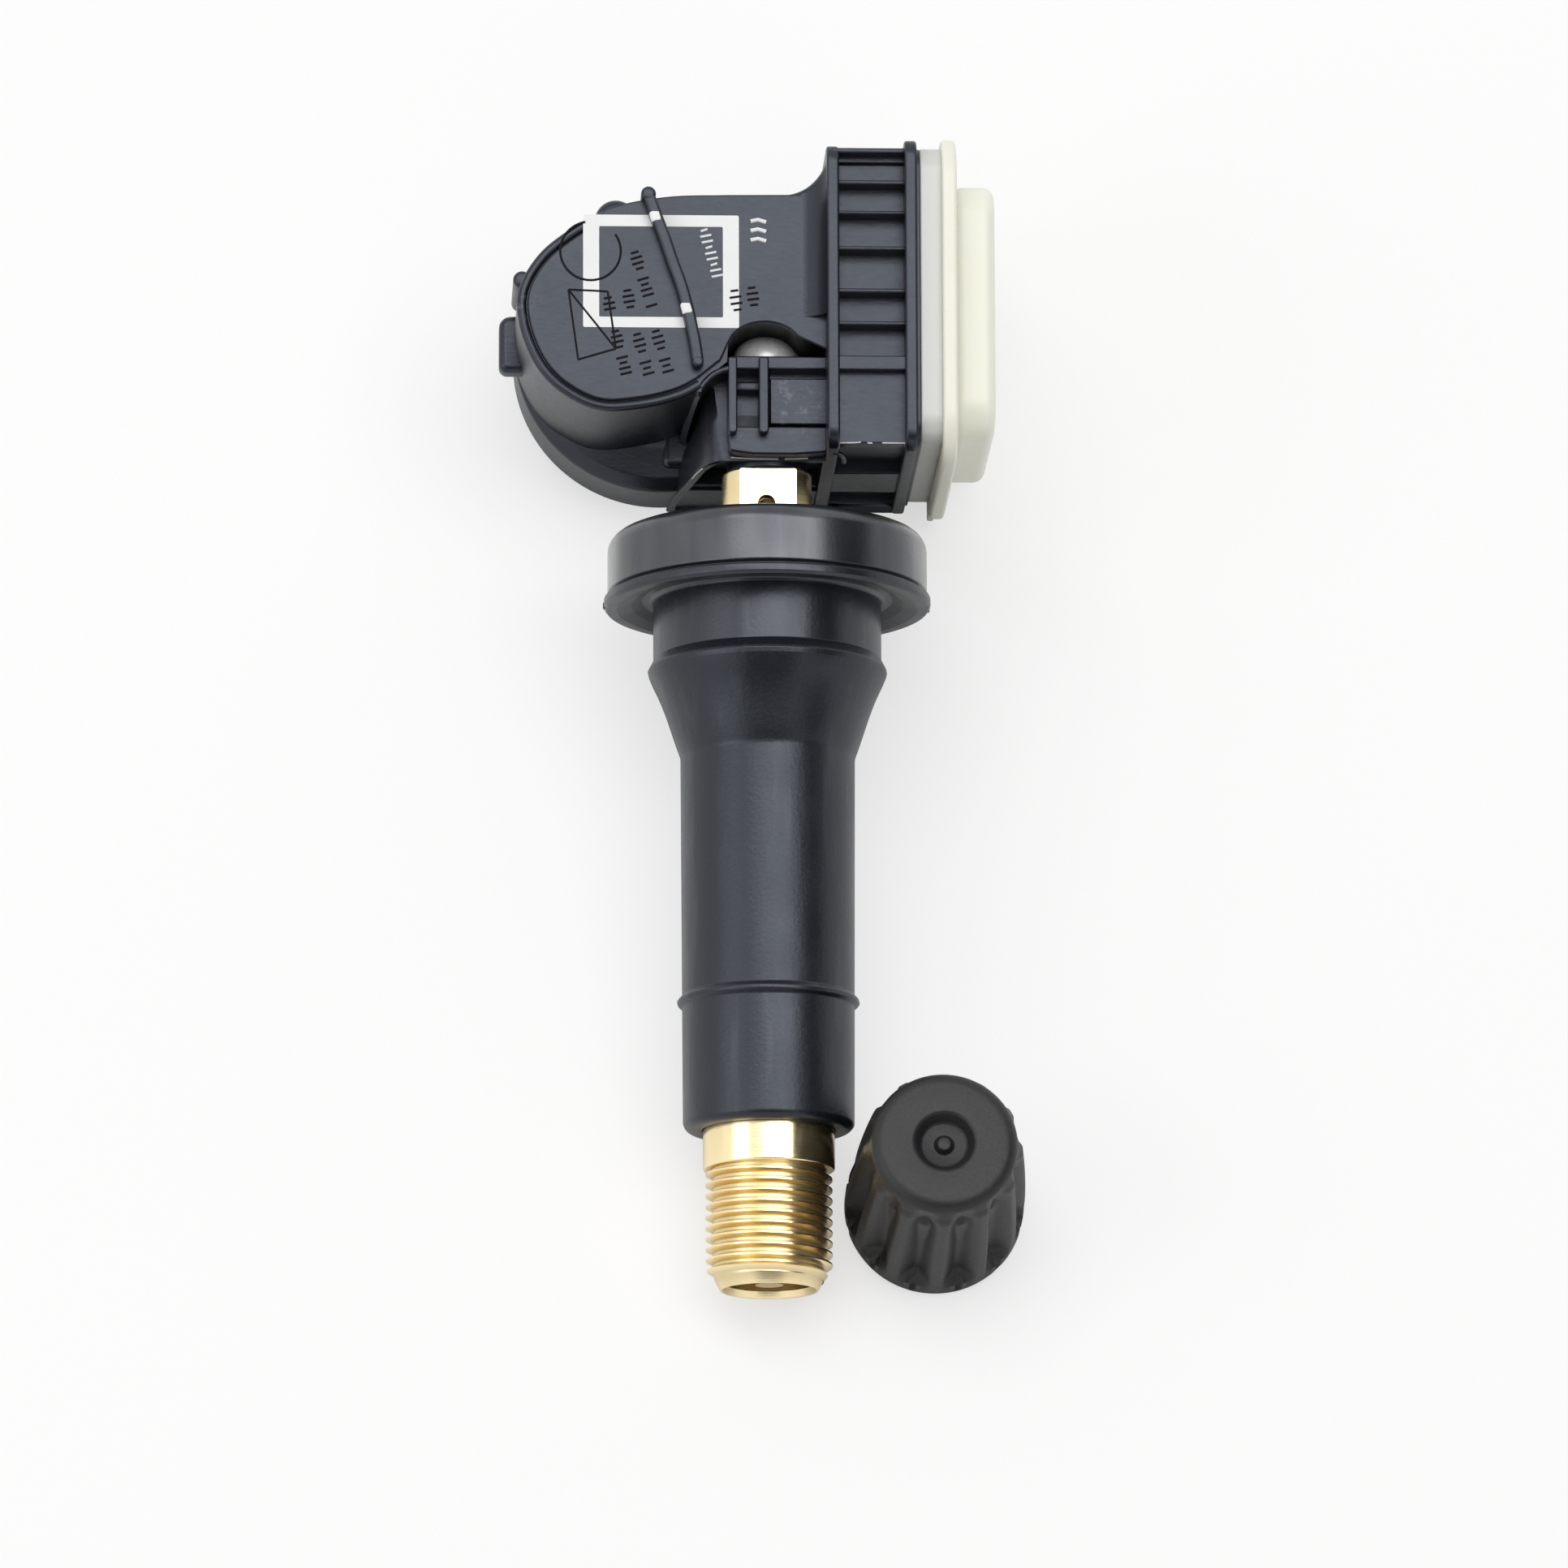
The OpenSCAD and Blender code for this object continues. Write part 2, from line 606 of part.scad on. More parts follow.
module end_cover() {
    a = [frame_y + 0.95, frame_bot + 0.4];
    b = [frame_end - 0.3, frame_top];
    lip_a = [cover_lip, 0.25];
    lip_b = [cover_lip, cover_lip];
    inner_a = [bay_y + 0.4, channel_z + 1.2];
    inner_b = [bay_end - 0.4, bay_top - 0.4];
    x1 = cover_x + cover_plate_t;
    x2 = x1 + cover_band_t;
    color("#e8e8dc") laid() difference() {
        union() {
            side_plate(cover_x, cover_plate_t + eps, a, b, 1.6);
            side_plate(x1, cover_band_t, [frame_y, frame_bot] - lip_a, [frame_end, frame_top] + lip_b, 3);
            side_plate(x2 - eps, cover_rise + eps, [frame_y + 1.4, frame_bot + 1.7],
                [frame_end - 1.85, frame_top - 1.8], 2.2);
            // Skirt that holds the board on its ledge
            side_plate(ledge_x + board_t + fit_gap, cover_x - ledge_x - board_t,
                [bay_y - ledge + fit_gap, channel_z + fit_gap],
                [bay_end + ledge - fit_gap, bay_top + ledge - fit_gap], 0.4);
        }
        side_plate(ledge_x, cover_x - ledge_x + cover_plate_t + cover_band_t + cover_rise
            - cover_wall, inner_a, inner_b, 1);
        translate([x2, drum_y, port_z]) rotate([0, 90, 0]) cylinder(r = port_r, h = 2 * cover_rise);
    }
}

// Screw with a domed head and a star recess, behind the tower
module retaining_screw() {
    dome = screw_head_h - 0.6;
    dome_r = (screw_head_r * screw_head_r + dome * dome) / (2 * dome);
    color("#dfe2e4") laid() difference() {
        union() {
            backward(screw_tip) cylinder(r = screw_r, h = tower_end - screw_tip + bond + eps);
            backward(tower_end + bond) cylinder(r = screw_head_r, h = 0.6);
            backward(tower_end + bond) intersection() {
                translate([0, 0, 0.6 + dome - dome_r]) sphere(dome_r);
                translate([0, 0, 0.5]) cylinder(r = screw_head_r, h = 3);
            }
        }
        for (a = [0, 60, 120]) backward(tower_end + screw_head_h - 0.8)
            rotate(a) translate([-1.15, -0.3, 0]) cube([2.3, 0.6, 3]);
    }
}

// Electronics

module circuit_board() {
    color("#1f6b45") laid() difference() {
        side_plate(ledge_x, board_t, [bay_y - ledge + 0.1, channel_z + 0.1],
            [bay_end + ledge - 0.1, bay_top + ledge - 0.1], 0.4);
        for (y = [bay_y + 0.8, bay_end - 0.8]) translate([ledge_x - 1, y, bay_top - 0.9])
            rotate([0, 90, 0]) cylinder(r = 0.4, h = 4);
    }
}

cell_z = channel_z + cell_clear;

module coin_cell() {
    color("#c8ccd0") laid() translate([drum_x, drum_y, cell_z]) {
        cylinder(r = cell_d / 2 - 0.5, h = cell_t);
        translate([0, 0, 0.35]) cylinder(r = cell_d / 2, h = cell_t - 0.35);
    }
}

// Welded strip from the middle of the cell to the board
module battery_tab(z, y) {
    laid() span([drum_x, drum_y + y - 1.5, z], [ledge_x, drum_y + y + 1.5, z + 0.2]);
}

module battery_tab_plus() {
    color("#b5b9bd") battery_tab(cell_z + cell_t, 3.2);
}

module battery_tab_minus() {
    color("#b5b9bd") battery_tab(cell_z - 0.2, -3.2);
}

chip_t = 1.4;
chip_w = 5;
port_r = 0.6;
module pressure_chip() {
    x = ledge_x + board_t;
    color("#1c1d20") laid() difference() {
        span([x, drum_y - chip_w / 2, port_z - chip_w / 2],
            [x + chip_t, drum_y + chip_w / 2, port_z + chip_w / 2]);
        translate([x + chip_t / 2, drum_y, port_z]) rotate([0, 90, 0])
            cylinder(r = port_r - 0.1, h = chip_t);
    }
}

module port_seal() {
    x = ledge_x + board_t + chip_t;
    end = cover_x + cover_plate_t + cover_band_t + cover_rise - cover_wall;
    color("#8d2f2a") laid() translate([x, drum_y, port_z]) rotate([0, 90, 0])
        ring(1.5, port_r + 0.2, end - x);
}

module pickup_coil() {
    x = ledge_x - 2.2;
    color("#6b4a2b") laid() {
        span([x, drum_y - 3.6, 0.6], [ledge_x, drum_y - 2.6, 2.8]);
        span([x, drum_y + 2.6, 0.6], [ledge_x, drum_y + 3.6, 2.8]);
        translate([x + 1.1, drum_y - 2.6, 1.7]) rotate([-90, 0, 0]) cylinder(r = 0.95, h = 5.2);
    }
}

module crystal() {
    color("#c8ccd0") laid() span([ledge_x - 0.9, drum_y - 6, -3], [ledge_x, drum_y - 3.5, 0.2]);
}

module antenna_strip() {
    x = ledge_x + board_t;
    color("#c9a24a") laid() {
        span([x + 0.7, bay_y + 0.7, 1.9], [x + 0.9, bay_end - 0.7, 2.9]);
        for (y = [bay_y + 0.7, bay_end - 1.1]) span([x, y, 1.9], [x + 0.75, y + 0.4, 2.9]);
    }
}

module board_capacitors() {
    color("#a9825a") laid() for (i = [0:2], k = [0:1])
        span([ledge_x - 0.6, drum_y + 3.6 + k * 1.5, -4 + i * 1.3],
            [ledge_x, drum_y + 4.6 + k * 1.5, -3.4 + i * 1.3]);
}

// Cap

// Radius of the cap's plain cone at height z
function cap_cone(z) = cap_r + (cap_top_r - cap_r) * (z - skirt_h) / (cap_h - skirt_h);

module cap_shell() {
    edge = 1.1;
    color("#3b3b3d") translate([cap_x, cap_y, ground_z]) difference() {
        rotate_extrude() {
            square([cap_r, skirt_h + eps]);
            polygon([[0, skirt_h], [cap_r, skirt_h], [cap_cone(cap_h - edge), cap_h - edge],
                [0, cap_h - edge]]);
            translate([cap_cone(cap_h - edge) - edge, cap_h - edge]) circle(edge);
            square([cap_cone(cap_h - edge) - edge, cap_h]);
        }
        // Flutes that start above the skirt and run out at the top
        for (i = [0:flutes - 1]) rotate(360 * i / flutes)
            translate([cap_r + 0.42, 0, skirt_h + 0.5]) {
                rotate([0, -atan((cap_r - cap_top_r) / (cap_h - skirt_h)) - 1.2, 0])
                    cylinder(r = flute_r, h = cap_h);
                sphere(flute_r);
            }
        // Dimple in the top, bore and grip notches in the foot
        translate([0, 0, cap_h + 0.9]) sphere(1.75);
        translate([0, 0, -1]) cylinder(r = cap_bore_r, h = cap_bore_h + 1);
        for (i = [0:flutes / 2 - 1]) rotate(360 * i / (flutes / 2) + 15)
            translate([cap_r - 0.35, -0.5, -1]) cube([2, 1, 1.35]);
    }
}

module cap_washer() {
    color("#1d1e20") translate([cap_x, cap_y, ground_z + cap_bore_h - washer_t - bond])
        ring(cap_bore_r - seat_gap, 1.2, washer_t);
}

rubber_body();
brass_stem();
core_plug();
core_barrel();
core_seal();
core_pin();
core_cup();
cup_seal();
core_spring();
housing();
end_cover();
retaining_screw();
circuit_board();
coin_cell();
battery_tab_plus();
battery_tab_minus();
pressure_chip();
port_seal();
pickup_coil();
crystal();
antenna_strip();
board_capacitors();
cap_shell();
cap_washer();
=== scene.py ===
"""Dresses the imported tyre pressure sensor: its snap-in valve, sensor housing and valve cap.

Every size is in millimetres in the stem frame, where the valve stem lies along Y with its
mouth towards -Y. The Forge turns those meshes into the row frame, in metres.
"""

from __future__ import annotations

import json
import logging
import math
from dataclasses import dataclass
from enum import Enum

import bmesh
import bpy
from mathutils import Matrix, Vector


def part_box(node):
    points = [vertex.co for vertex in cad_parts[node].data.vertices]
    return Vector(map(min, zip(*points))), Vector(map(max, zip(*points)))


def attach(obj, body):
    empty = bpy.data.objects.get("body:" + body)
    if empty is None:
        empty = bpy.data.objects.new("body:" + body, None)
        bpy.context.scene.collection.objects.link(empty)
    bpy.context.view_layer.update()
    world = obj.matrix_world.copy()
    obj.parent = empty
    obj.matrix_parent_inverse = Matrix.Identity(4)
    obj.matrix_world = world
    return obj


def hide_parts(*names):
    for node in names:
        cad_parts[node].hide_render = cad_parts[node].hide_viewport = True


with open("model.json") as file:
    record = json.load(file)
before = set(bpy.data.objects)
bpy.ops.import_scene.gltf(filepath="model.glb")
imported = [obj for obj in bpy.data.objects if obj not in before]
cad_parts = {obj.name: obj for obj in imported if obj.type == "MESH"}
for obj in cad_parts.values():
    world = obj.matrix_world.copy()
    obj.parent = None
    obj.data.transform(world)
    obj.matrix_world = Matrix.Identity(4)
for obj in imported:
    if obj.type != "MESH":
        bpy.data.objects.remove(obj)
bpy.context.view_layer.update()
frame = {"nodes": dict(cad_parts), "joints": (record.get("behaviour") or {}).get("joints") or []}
LOG = logging.getLogger("sensor")
MM = 0.001
SENSOR = "sensor"
PUSH = Vector(frame["joints"][0]["axis"])
TILT = math.atan2(PUSH.z, PUSH.y)
LAY = Matrix.Rotation(TILT, 4, "X")
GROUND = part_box("cap_shell")[0].z
WHITE = (1.0, 1.0, 1.0, 1.0)
BLUISH = (0.8, 0.86, 1.0, 1.0)
# A corner is left sharp when half its angle, in radians, is past these.
STRAIGHT = 1.55
FOLDED = 0.02
# The share of a side that a corner's round may take.
ROOM = 0.49
# The angle in radians past which an edge of a solid gets a round.
BENT = 0.6
Point = tuple[float, float]
Corner = tuple[float, float, float]


def srgb(code: str) -> tuple[float, float, float, float]:
    """Turns a display colour into the linear values that shaders take.

    Args:
        code: Six hexadecimal digits, red first.

    Returns:
        Linear red, green, blue and an alpha of 1.
    """
    parts = [int(code[i : i + 2], 16) / 255 for i in (0, 2, 4)]
    lin = [c / 12.92 if c <= 0.04045 else ((c + 0.055) / 1.055) ** 2.4 for c in parts]
    return (lin[0], lin[1], lin[2], 1.0)


class Field:
    """A shader socket that can be used in arithmetic."""

    def __init__(self, graph: Graph, socket: bpy.types.NodeSocket) -> None:
        """Keeps the socket and the graph that it belongs to."""
        self.graph = graph
        self.socket = socket

    def _op(self, name: str, first: object, second: object) -> Field:
        """Adds a Math node.

        Args:
            name: The operation.
            first: Its first value.
            second: Its second value.

        Returns:
            The result as a field.
        """
        return self.graph.field("ShaderNodeMath", "Value", {"operation": name}, {0: first, 1: second})

    def __add__(self, other: object) -> Field:
        """Adds."""
        return self._op("ADD", self, other)

    def __radd__(self, other: object) -> Field:
        """Adds, from the right."""
        return self._op("ADD", other, self)

    def __sub__(self, other: object) -> Field:
        """Subtracts."""
        return self._op("SUBTRACT", self, other)

    def __rsub__(self, other: object) -> Field:
        """Subtracts, from the right."""
        return self._op("SUBTRACT", other, self)

    def __mul__(self, other: object) -> Field:
        """Multiplies."""
        return self._op("MULTIPLY", self, other)

    def __rmul__(self, other: object) -> Field:
        """Multiplies, from the right."""
        return self._op("MULTIPLY", other, self)

    def __pow__(self, other: object) -> Field:
        """Raises to a power."""
        return self._op("POWER", self, other)

    def most(self, other: object) -> Field:
        """Takes the higher of two values."""
        return self._op("MAXIMUM", self, other)

    def step(self, low: float, high: float) -> Field:
        """Rises smoothly from 0 at low to 1 at high."""
        return self.graph.field(
            "ShaderNodeMapRange", "Result", {"interpolation_type": "SMOOTHSTEP"},
            {"Value": self, "From Min": low, "From Max": high},
        )


class Graph:
    """The node tree of one material or world."""

    def __init__(self, owner: bpy.types.Material | bpy.types.World) -> None:
        """Empties the node tree of a material or a world.

        Args:
            owner: The material or world.
        """
        self.owner = owner
        owner.use_nodes = True
        self.tree = owner.node_tree
        self.tree.nodes.clear()

    def node(
        self, kind: str, settings: dict[str, object] | None = None,
        inputs: dict[object, object] | None = None,
    ) -> bpy.types.Node:
        """Adds a node, sets its settings first and then its sockets.

        Args:
            kind: The node's type.
            settings: Its properties.
            inputs: A value, a field or an output for each socket's name or number.

        Returns:
            The node.
        """
        made = self.tree.nodes.new(kind)
        for key, value in (settings or {}).items():
            setattr(made, key, value)
        for key, value in (inputs or {}).items():
            if isinstance(value, Field):
                value = value.socket
            if isinstance(value, bpy.types.NodeSocket):
                self.tree.links.new(value, made.inputs[key])
            else:
                made.inputs[key].default_value = value
        return made

    def field(
        self, kind: str, output: object, settings: dict[str, object] | None = None,
        inputs: dict[object, object] | None = None,
    ) -> Field:
        """Adds a node and gives one of its outputs as a field."""
        return Field(self, self.node(kind, settings, inputs).outputs[output])

    def place(self) -> Field:
        """Gives the point in the stem frame, in millimetres."""
        point = self.field("ShaderNodeTexCoord", "Object")
        return self.field(
            "ShaderNodeMapping", "Vector", {"vector_type": "POINT"},
            {"Vector": point, "Rotation": (-TILT, 0, 0), "Scale": (1 / MM,) * 3},
        )

    def axes(self, point: Field) -> tuple[Field, Field, Field]:
        """Splits a point into its three parts."""
        made = self.node("ShaderNodeSeparateXYZ", None, {0: point})
        return tuple(Field(self, made.outputs[i]) for i in range(3))

    def stretch(self, point: Field, scale: tuple[float, float, float]) -> Field:
        """Scales a point along each axis."""
        return self.field(
            "ShaderNodeVectorMath", "Vector", {"operation": "MULTIPLY"}, {0: point, 1: scale}
        )

    def noise(self, point: Field, size: float, detail: float = 2.0, rough: float = 0.5) -> Field:
        """Gives soft noise from 0 to 1.

        Args:
            point: Where it is read, in millimetres.
            size: The size of its largest features.
            detail: How many finer layers it has.
            rough: How strong the finer layers are.

        Returns:
            The noise.
        """
        return self.field(
            "ShaderNodeTexNoise", "Fac", None,
            {"Vector": point, "Scale": 1 / size, "Detail": detail, "Roughness": rough},
        )

    def blend(self, factor: object, low: object, high: object) -> Field:
        """Mixes two colours.

        Args:
            factor: 0 for the first colour, 1 for the second.
            low: The first colour.
            high: The second colour.

        Returns:
            The mixed colour.
        """
        made = self.node("ShaderNodeMix", {"data_type": "RGBA"}, {0: factor, 6: low, 7: high})
        return Field(self, made.outputs[2])

    def relief(self, height: Field, depth: float, before: Field | None = None) -> Field:
        """Turns a height from 0 to 1 into a bumped normal.

        Args:
            height: The height.
            depth: Its full depth in millimetres.
            before: A bumped normal that it adds to.

        Returns:
            The normal.
        """
        inputs: dict[object, object] = {"Height": height, "Distance": depth * MM}
        if before is not None:
            inputs["Normal"] = before
        return self.field("ShaderNodeBump", "Normal", None, inputs)

    def surface(self, **sockets: object) -> bpy.types.Material:
        """Ends the graph in a Principled shader.

        Args:
            **sockets: Values or fields by socket name, with _ for a space.

        Returns:
            The finished material.
        """
        names = {key.replace("_", " "): value for key, value in sockets.items()}
        shader = self.node("ShaderNodeBsdfPrincipled", None, names)
        self.node("ShaderNodeOutputMaterial", None, {"Surface": shader.outputs[0]})
        return self.owner

    def mixed(self, factor: Field, first: bpy.types.Node, second: bpy.types.Node, end: str) -> None:
        """Ends the graph in a mix of two shaders.

        Args:
            factor: 0 for the first shader, 1 for the second.
            first: The first shader's node.
            second: The second shader's node.
            end: The type of the output node.
        """
        mix = self.node("ShaderNodeMixShader", None, {0: factor, 1: first.outputs[0], 2: second.outputs[0]})
        self.node(end, None, {"Surface": mix.outputs[0]})

    def white_floor(self, base: Field, share: float) -> bpy.types.Material:
        """Ends the graph in a matt floor that the camera sees partly as plain white.

        Args:
            base: The floor's colour.
            share: How much of what the camera sees is plain white.

        Returns:
            The finished material.
        """
        matt = self.node("ShaderNodeBsdfDiffuse", None, {"Color": base})
        white = self.node("ShaderNodeEmission", None, {"Color": WHITE, "Strength": 1.0})
        seen = self.field("ShaderNodeLightPath", "Is Camera Ray") * share
        self.mixed(seen, matt, white, "ShaderNodeOutputMaterial")
        return self.owner


@dataclass(frozen=True)
class Finish:
    """A plain finish with a little variation, and the base of the others."""

    name: str
    colour: str
    rough: float = 0.45
    metal: float = 0.0
    grain: float = 0.6
    depth: float = 0.01
    spread: float = 0.18
    gloss: float = 0.5
    sheen: tuple[float, float, float, float] = WHITE

    def material(self) -> bpy.types.Material:
        """Gives the finish's material, made on first use."""
        found = bpy.data.materials.get(self.name)
        return found or self.shade(Graph(bpy.data.materials.new(self.name)))

    def tint(self, change: float) -> tuple[float, float, float, float]:
        """Gives the finish's colour made lighter or darker by a factor."""
        base = srgb(self.colour)
        return (*(min(1.0, c * change) for c in base[:3]), 1.0)

    def shade(self, graph: Graph) -> bpy.types.Material:
        """Builds the material's nodes.

        Args:
            graph: An empty graph.

        Returns:
            The material.
        """
        point = graph.place()
        cloud = graph.noise(point, self.grain * 6, 3)
        fine = graph.noise(point, self.grain, 3)
        base = graph.blend(cloud, self.tint(1 - self.spread), self.tint(1 + self.spread))
        return graph.surface(
            Base_Color=base, Metallic=self.metal, Roughness=self.rough + (fine - 0.5) * 0.16,
            Normal=graph.relief(fine, self.depth), Specular_IOR_Level=self.gloss,
            Specular_Tint=self.sheen,
        )


@dataclass(frozen=True)
class RubberFinish(Finish):
    """Satin black rubber with faint drawn streaks and bloom, shinier at the flange and groove."""

    flange_from: float = 0.2
    groove_from: float = -3.9

    def shade(self, graph: Graph) -> bpy.types.Material:
        """Builds the rubber's nodes.

        Args:
            graph: An empty graph.

        Returns:
            The material.
        """
        point = graph.place()
        streak = graph.noise(graph.stretch(point, (1.0, 0.12, 1.0)), 1.1, 3, 0.6)
        cloud = graph.noise(point, 5.0, 3)
        fine = graph.noise(point, 0.25, 3, 0.6)
        bloom = (streak * 0.7 + cloud * 0.5 - 0.45).step(0.1, 0.6)
        base = graph.blend(bloom, self.tint(0.82), self.tint(1.35))
        bump = graph.relief(streak, 0.02, graph.relief(fine, 0.012))
        along = graph.axes(point)[1]
        flange = along.step(self.flange_from, self.flange_from + 0.3)
        polish = flange + along.step(self.groove_from, self.groove_from + 0.2) * 0.25
        patch = graph.noise(graph.stretch(point, (1.0, 0.3, 1.0)), 4.0, 2).step(0.38, 0.62)
        return graph.surface(
            Base_Color=base, Roughness=self.rough + (cloud - 0.5) * 0.2 + fine * 0.08, Normal=bump,
            Specular_IOR_Level=self.gloss, Specular_Tint=self.sheen, Coat_Roughness=0.22,
            Coat_Weight=polish * (0.45 + patch * 0.55) + streak.step(0.5, 0.75) * 0.2,
        )


@dataclass(frozen=True)
class NylonFinish(Finish):
    """Glass-filled nylon: bluish black, lightly grained, with scuffs on its proud edges.

    A scuff is its middle, its radius and its strength.
    """

    scuffs: tuple[tuple[float, ...], ...] = (
        (1.7, 11.6, 3.9, 2.4, 1.0), (-15.2, 17.5, 5.0, 1.6, 0.7), (-2.2, 9.6, 4.4, 1.0, 0.8),
    )

    def shade(self, graph: Graph) -> bpy.types.Material:
        """Builds the nylon's nodes.

        Args:
            graph: An empty graph.

        Returns:
            The material.
        """
        point = graph.place()
        cloud = graph.noise(point, 4.0, 4, 0.55)
        fibre = graph.noise(graph.stretch(point, (0.35, 1.0, 0.8)), 0.22, 4, 0.65)
        base = graph.blend(cloud, self.tint(0.85), self.tint(1.2))
        worn: Field | float = 0.0
        for x, y, z, size, strength in self.scuffs:
            away = graph.field(
                "ShaderNodeVectorMath", "Value", {"operation": "DISTANCE"}, {0: point, 1: (x, y, z)}
            )
            rubbed = graph.noise(point, 0.5, 5, 0.75).step(0.5, 0.72)
            near = 1.0 - away.step(size * 0.4, size)
            worn = near * rubbed * strength + worn
        base = graph.blend(worn * 0.5, base, srgb("8f9297"))
        bump = graph.relief(cloud, 0.015, graph.relief(fibre, 0.014))
        return graph.surface(
            Base_Color=base, Roughness=self.rough + (fibre - 0.5) * 0.18 + (cloud - 0.5) * 0.12,
            Normal=bump, Specular_IOR_Level=self.gloss, Specular_Tint=self.sheen,
        )


@dataclass(frozen=True)
class BrassFinish(Finish):
    """Turned brass, with painted shade darkening the thread's roots and, more faintly, the plain tube; the
    crests keep the full colour.
    """

    crest: float = 3.85
    root: float = 3.3

    def shade(self, graph: Graph) -> bpy.types.Material:
        """Builds the brass's nodes.

        Args:
            graph: An empty graph.

        Returns:
            The material.
        """
        point = graph.place()
        x, _, z = graph.axes(point)
        radius = (x * x + z * z) ** 0.5
        rings = graph.noise(graph.stretch(point, (0.05, 1.0, 0.05)), 0.16, 3, 0.7)
        cloud = graph.noise(point, 2.5, 3)
        high = radius.step(self.root, self.crest)
        low_band = 1.0 - radius.step(self.root - 0.35, self.root)
        outside_root_shade = high.most(low_band * 0.7)
        # Painted shade: the colour is darkest in the thread's roots, where shade falls, and a little darker
        # on the plain tube.
        base = graph.blend(outside_root_shade, self.tint(0.75), self.tint(1.0))
        base = graph.blend((cloud - 0.35).step(0.0, 0.5) * 0.25, base, srgb("dba656"))
        return graph.surface(
            Base_Color=base, Metallic=1.0, Normal=graph.relief(rings, 0.006),
            Roughness=self.rough + (rings - 0.5) * 0.12 + (1.0 - outside_root_shade) * 0.15,
        )


@dataclass(frozen=True)
class CoverFinish(Finish):
    """Milky plastic, creamier where it stands out and thickens."""

    warm: str = "f6f6e8"
    warm_from: float = 11.3

    def shade(self, graph: Graph) -> bpy.types.Material:
        """Builds the cover's nodes.

        Args:
            graph: An empty graph.

        Returns:
            The material.
        """
        point = graph.place()
        x = graph.axes(point)[0]
        cloud = graph.noise(point, 7.0, 2)
        fine = graph.noise(point, 0.6, 3)
        base = graph.blend(cloud, self.tint(0.96), self.tint(1.04))
        base = graph.blend(x.step(self.warm_from - 0.1, self.warm_from + 0.3), base, srgb(self.warm))
        return graph.surface(
            Base_Color=base, Roughness=self.rough + (fine - 0.5) * 0.1,
            Normal=graph.relief(fine, 0.006), Subsurface_Weight=0.35,
            Subsurface_Radius=(1.0, 0.95, 0.7), Subsurface_Scale=0.0012,
        )


class Look(Enum):
    """The finishes of the sensor's pieces."""

    RUBBER = RubberFinish("satin_rubber", "0f1217", rough=0.3, gloss=0.62, sheen=BLUISH)
    NYLON = NylonFinish("filled_nylon", "13161b", rough=0.33, gloss=0.56, sheen=BLUISH)
    # Painted highlight: the flash is nearly white so that the front's sharp edges read as lit.
    FLASH_HIGHLIGHT = Finish("nylon_flash_painted_highlight", "d4d6d6", rough=0.5, grain=0.3)
    STROKE = Finish("raised_nylon", "0e0f12", rough=0.6, grain=0.3, gloss=0.2)
    BRASS = BrassFinish("turned_brass", "ffedbe", rough=0.18)
    CORE_BRASS = Finish("core_brass", "d9b25a", rough=0.25, metal=1.0, grain=0.4, depth=0.004)
    PLATED = Finish("nickel_plate", "d8dadc", rough=0.22, metal=1.0, grain=0.5, depth=0.004, spread=0.06)
    # Painted highlight: the steel screw gets a near-white, barely metallic colour so that its dome reads as
    # glare.
    SCREW_HIGHLIGHT = Finish("screw_steel_painted_highlight", "fafafa", rough=0.28, metal=0.15, grain=0.5, depth=0.003,
                    spread=0.04)
    COVER = CoverFinish("milky_cover", "eeedde", rough=0.38)
    PLATE = CoverFinish("clear_cover", "cfd0cb", warm="cfd0cb", rough=0.3)
    CAP = Finish("matt_cap_plastic", "1f1f21", rough=0.46, grain=0.18, depth=0.014, spread=0.12, gloss=0.4)
    SEAL_RED = Finish("core_seal_red", "a83a2e", rough=0.55, grain=0.5)
    SEAL_DARK = Finish("seal_rubber", "232426", rough=0.6, grain=0.4)
    WIRE = Finish("spring_wire", "c3c6c9", rough=0.28, metal=1.0, grain=0.3, depth=0.003, spread=0.08)
    BOARD = Finish("solder_mask", "1f6b45", rough=0.4, grain=0.8, depth=0.006)
    CELL = Finish("cell_can", "cfd2d5", rough=0.3, metal=1.0, grain=1.2, depth=0.004, spread=0.08)
    STRIP = Finish("nickel_strip", "bfc2c5", rough=0.35, metal=1.0, depth=0.004, spread=0.08)
    EPOXY = Finish("chip_epoxy", "1c1d20", rough=0.55, grain=0.15, depth=0.008)
    SILICONE = Finish("red_silicone", "8d2f2a", rough=0.5, depth=0.006)
    WINDING = Finish("coil_winding", "7a4a2b", rough=0.4, metal=0.4, grain=0.12, depth=0.02, spread=0.3)
    CERAMIC = Finish("capacitor_ceramic", "a9825a", rough=0.5, grain=0.4, depth=0.005)
    INK = Finish("white_ink", "eef0ef", rough=0.55, grain=0.3, depth=0.006, spread=0.05)

    @property
    def material(self) -> bpy.types.Material:
        """The finish's material."""
        return self.value.material()


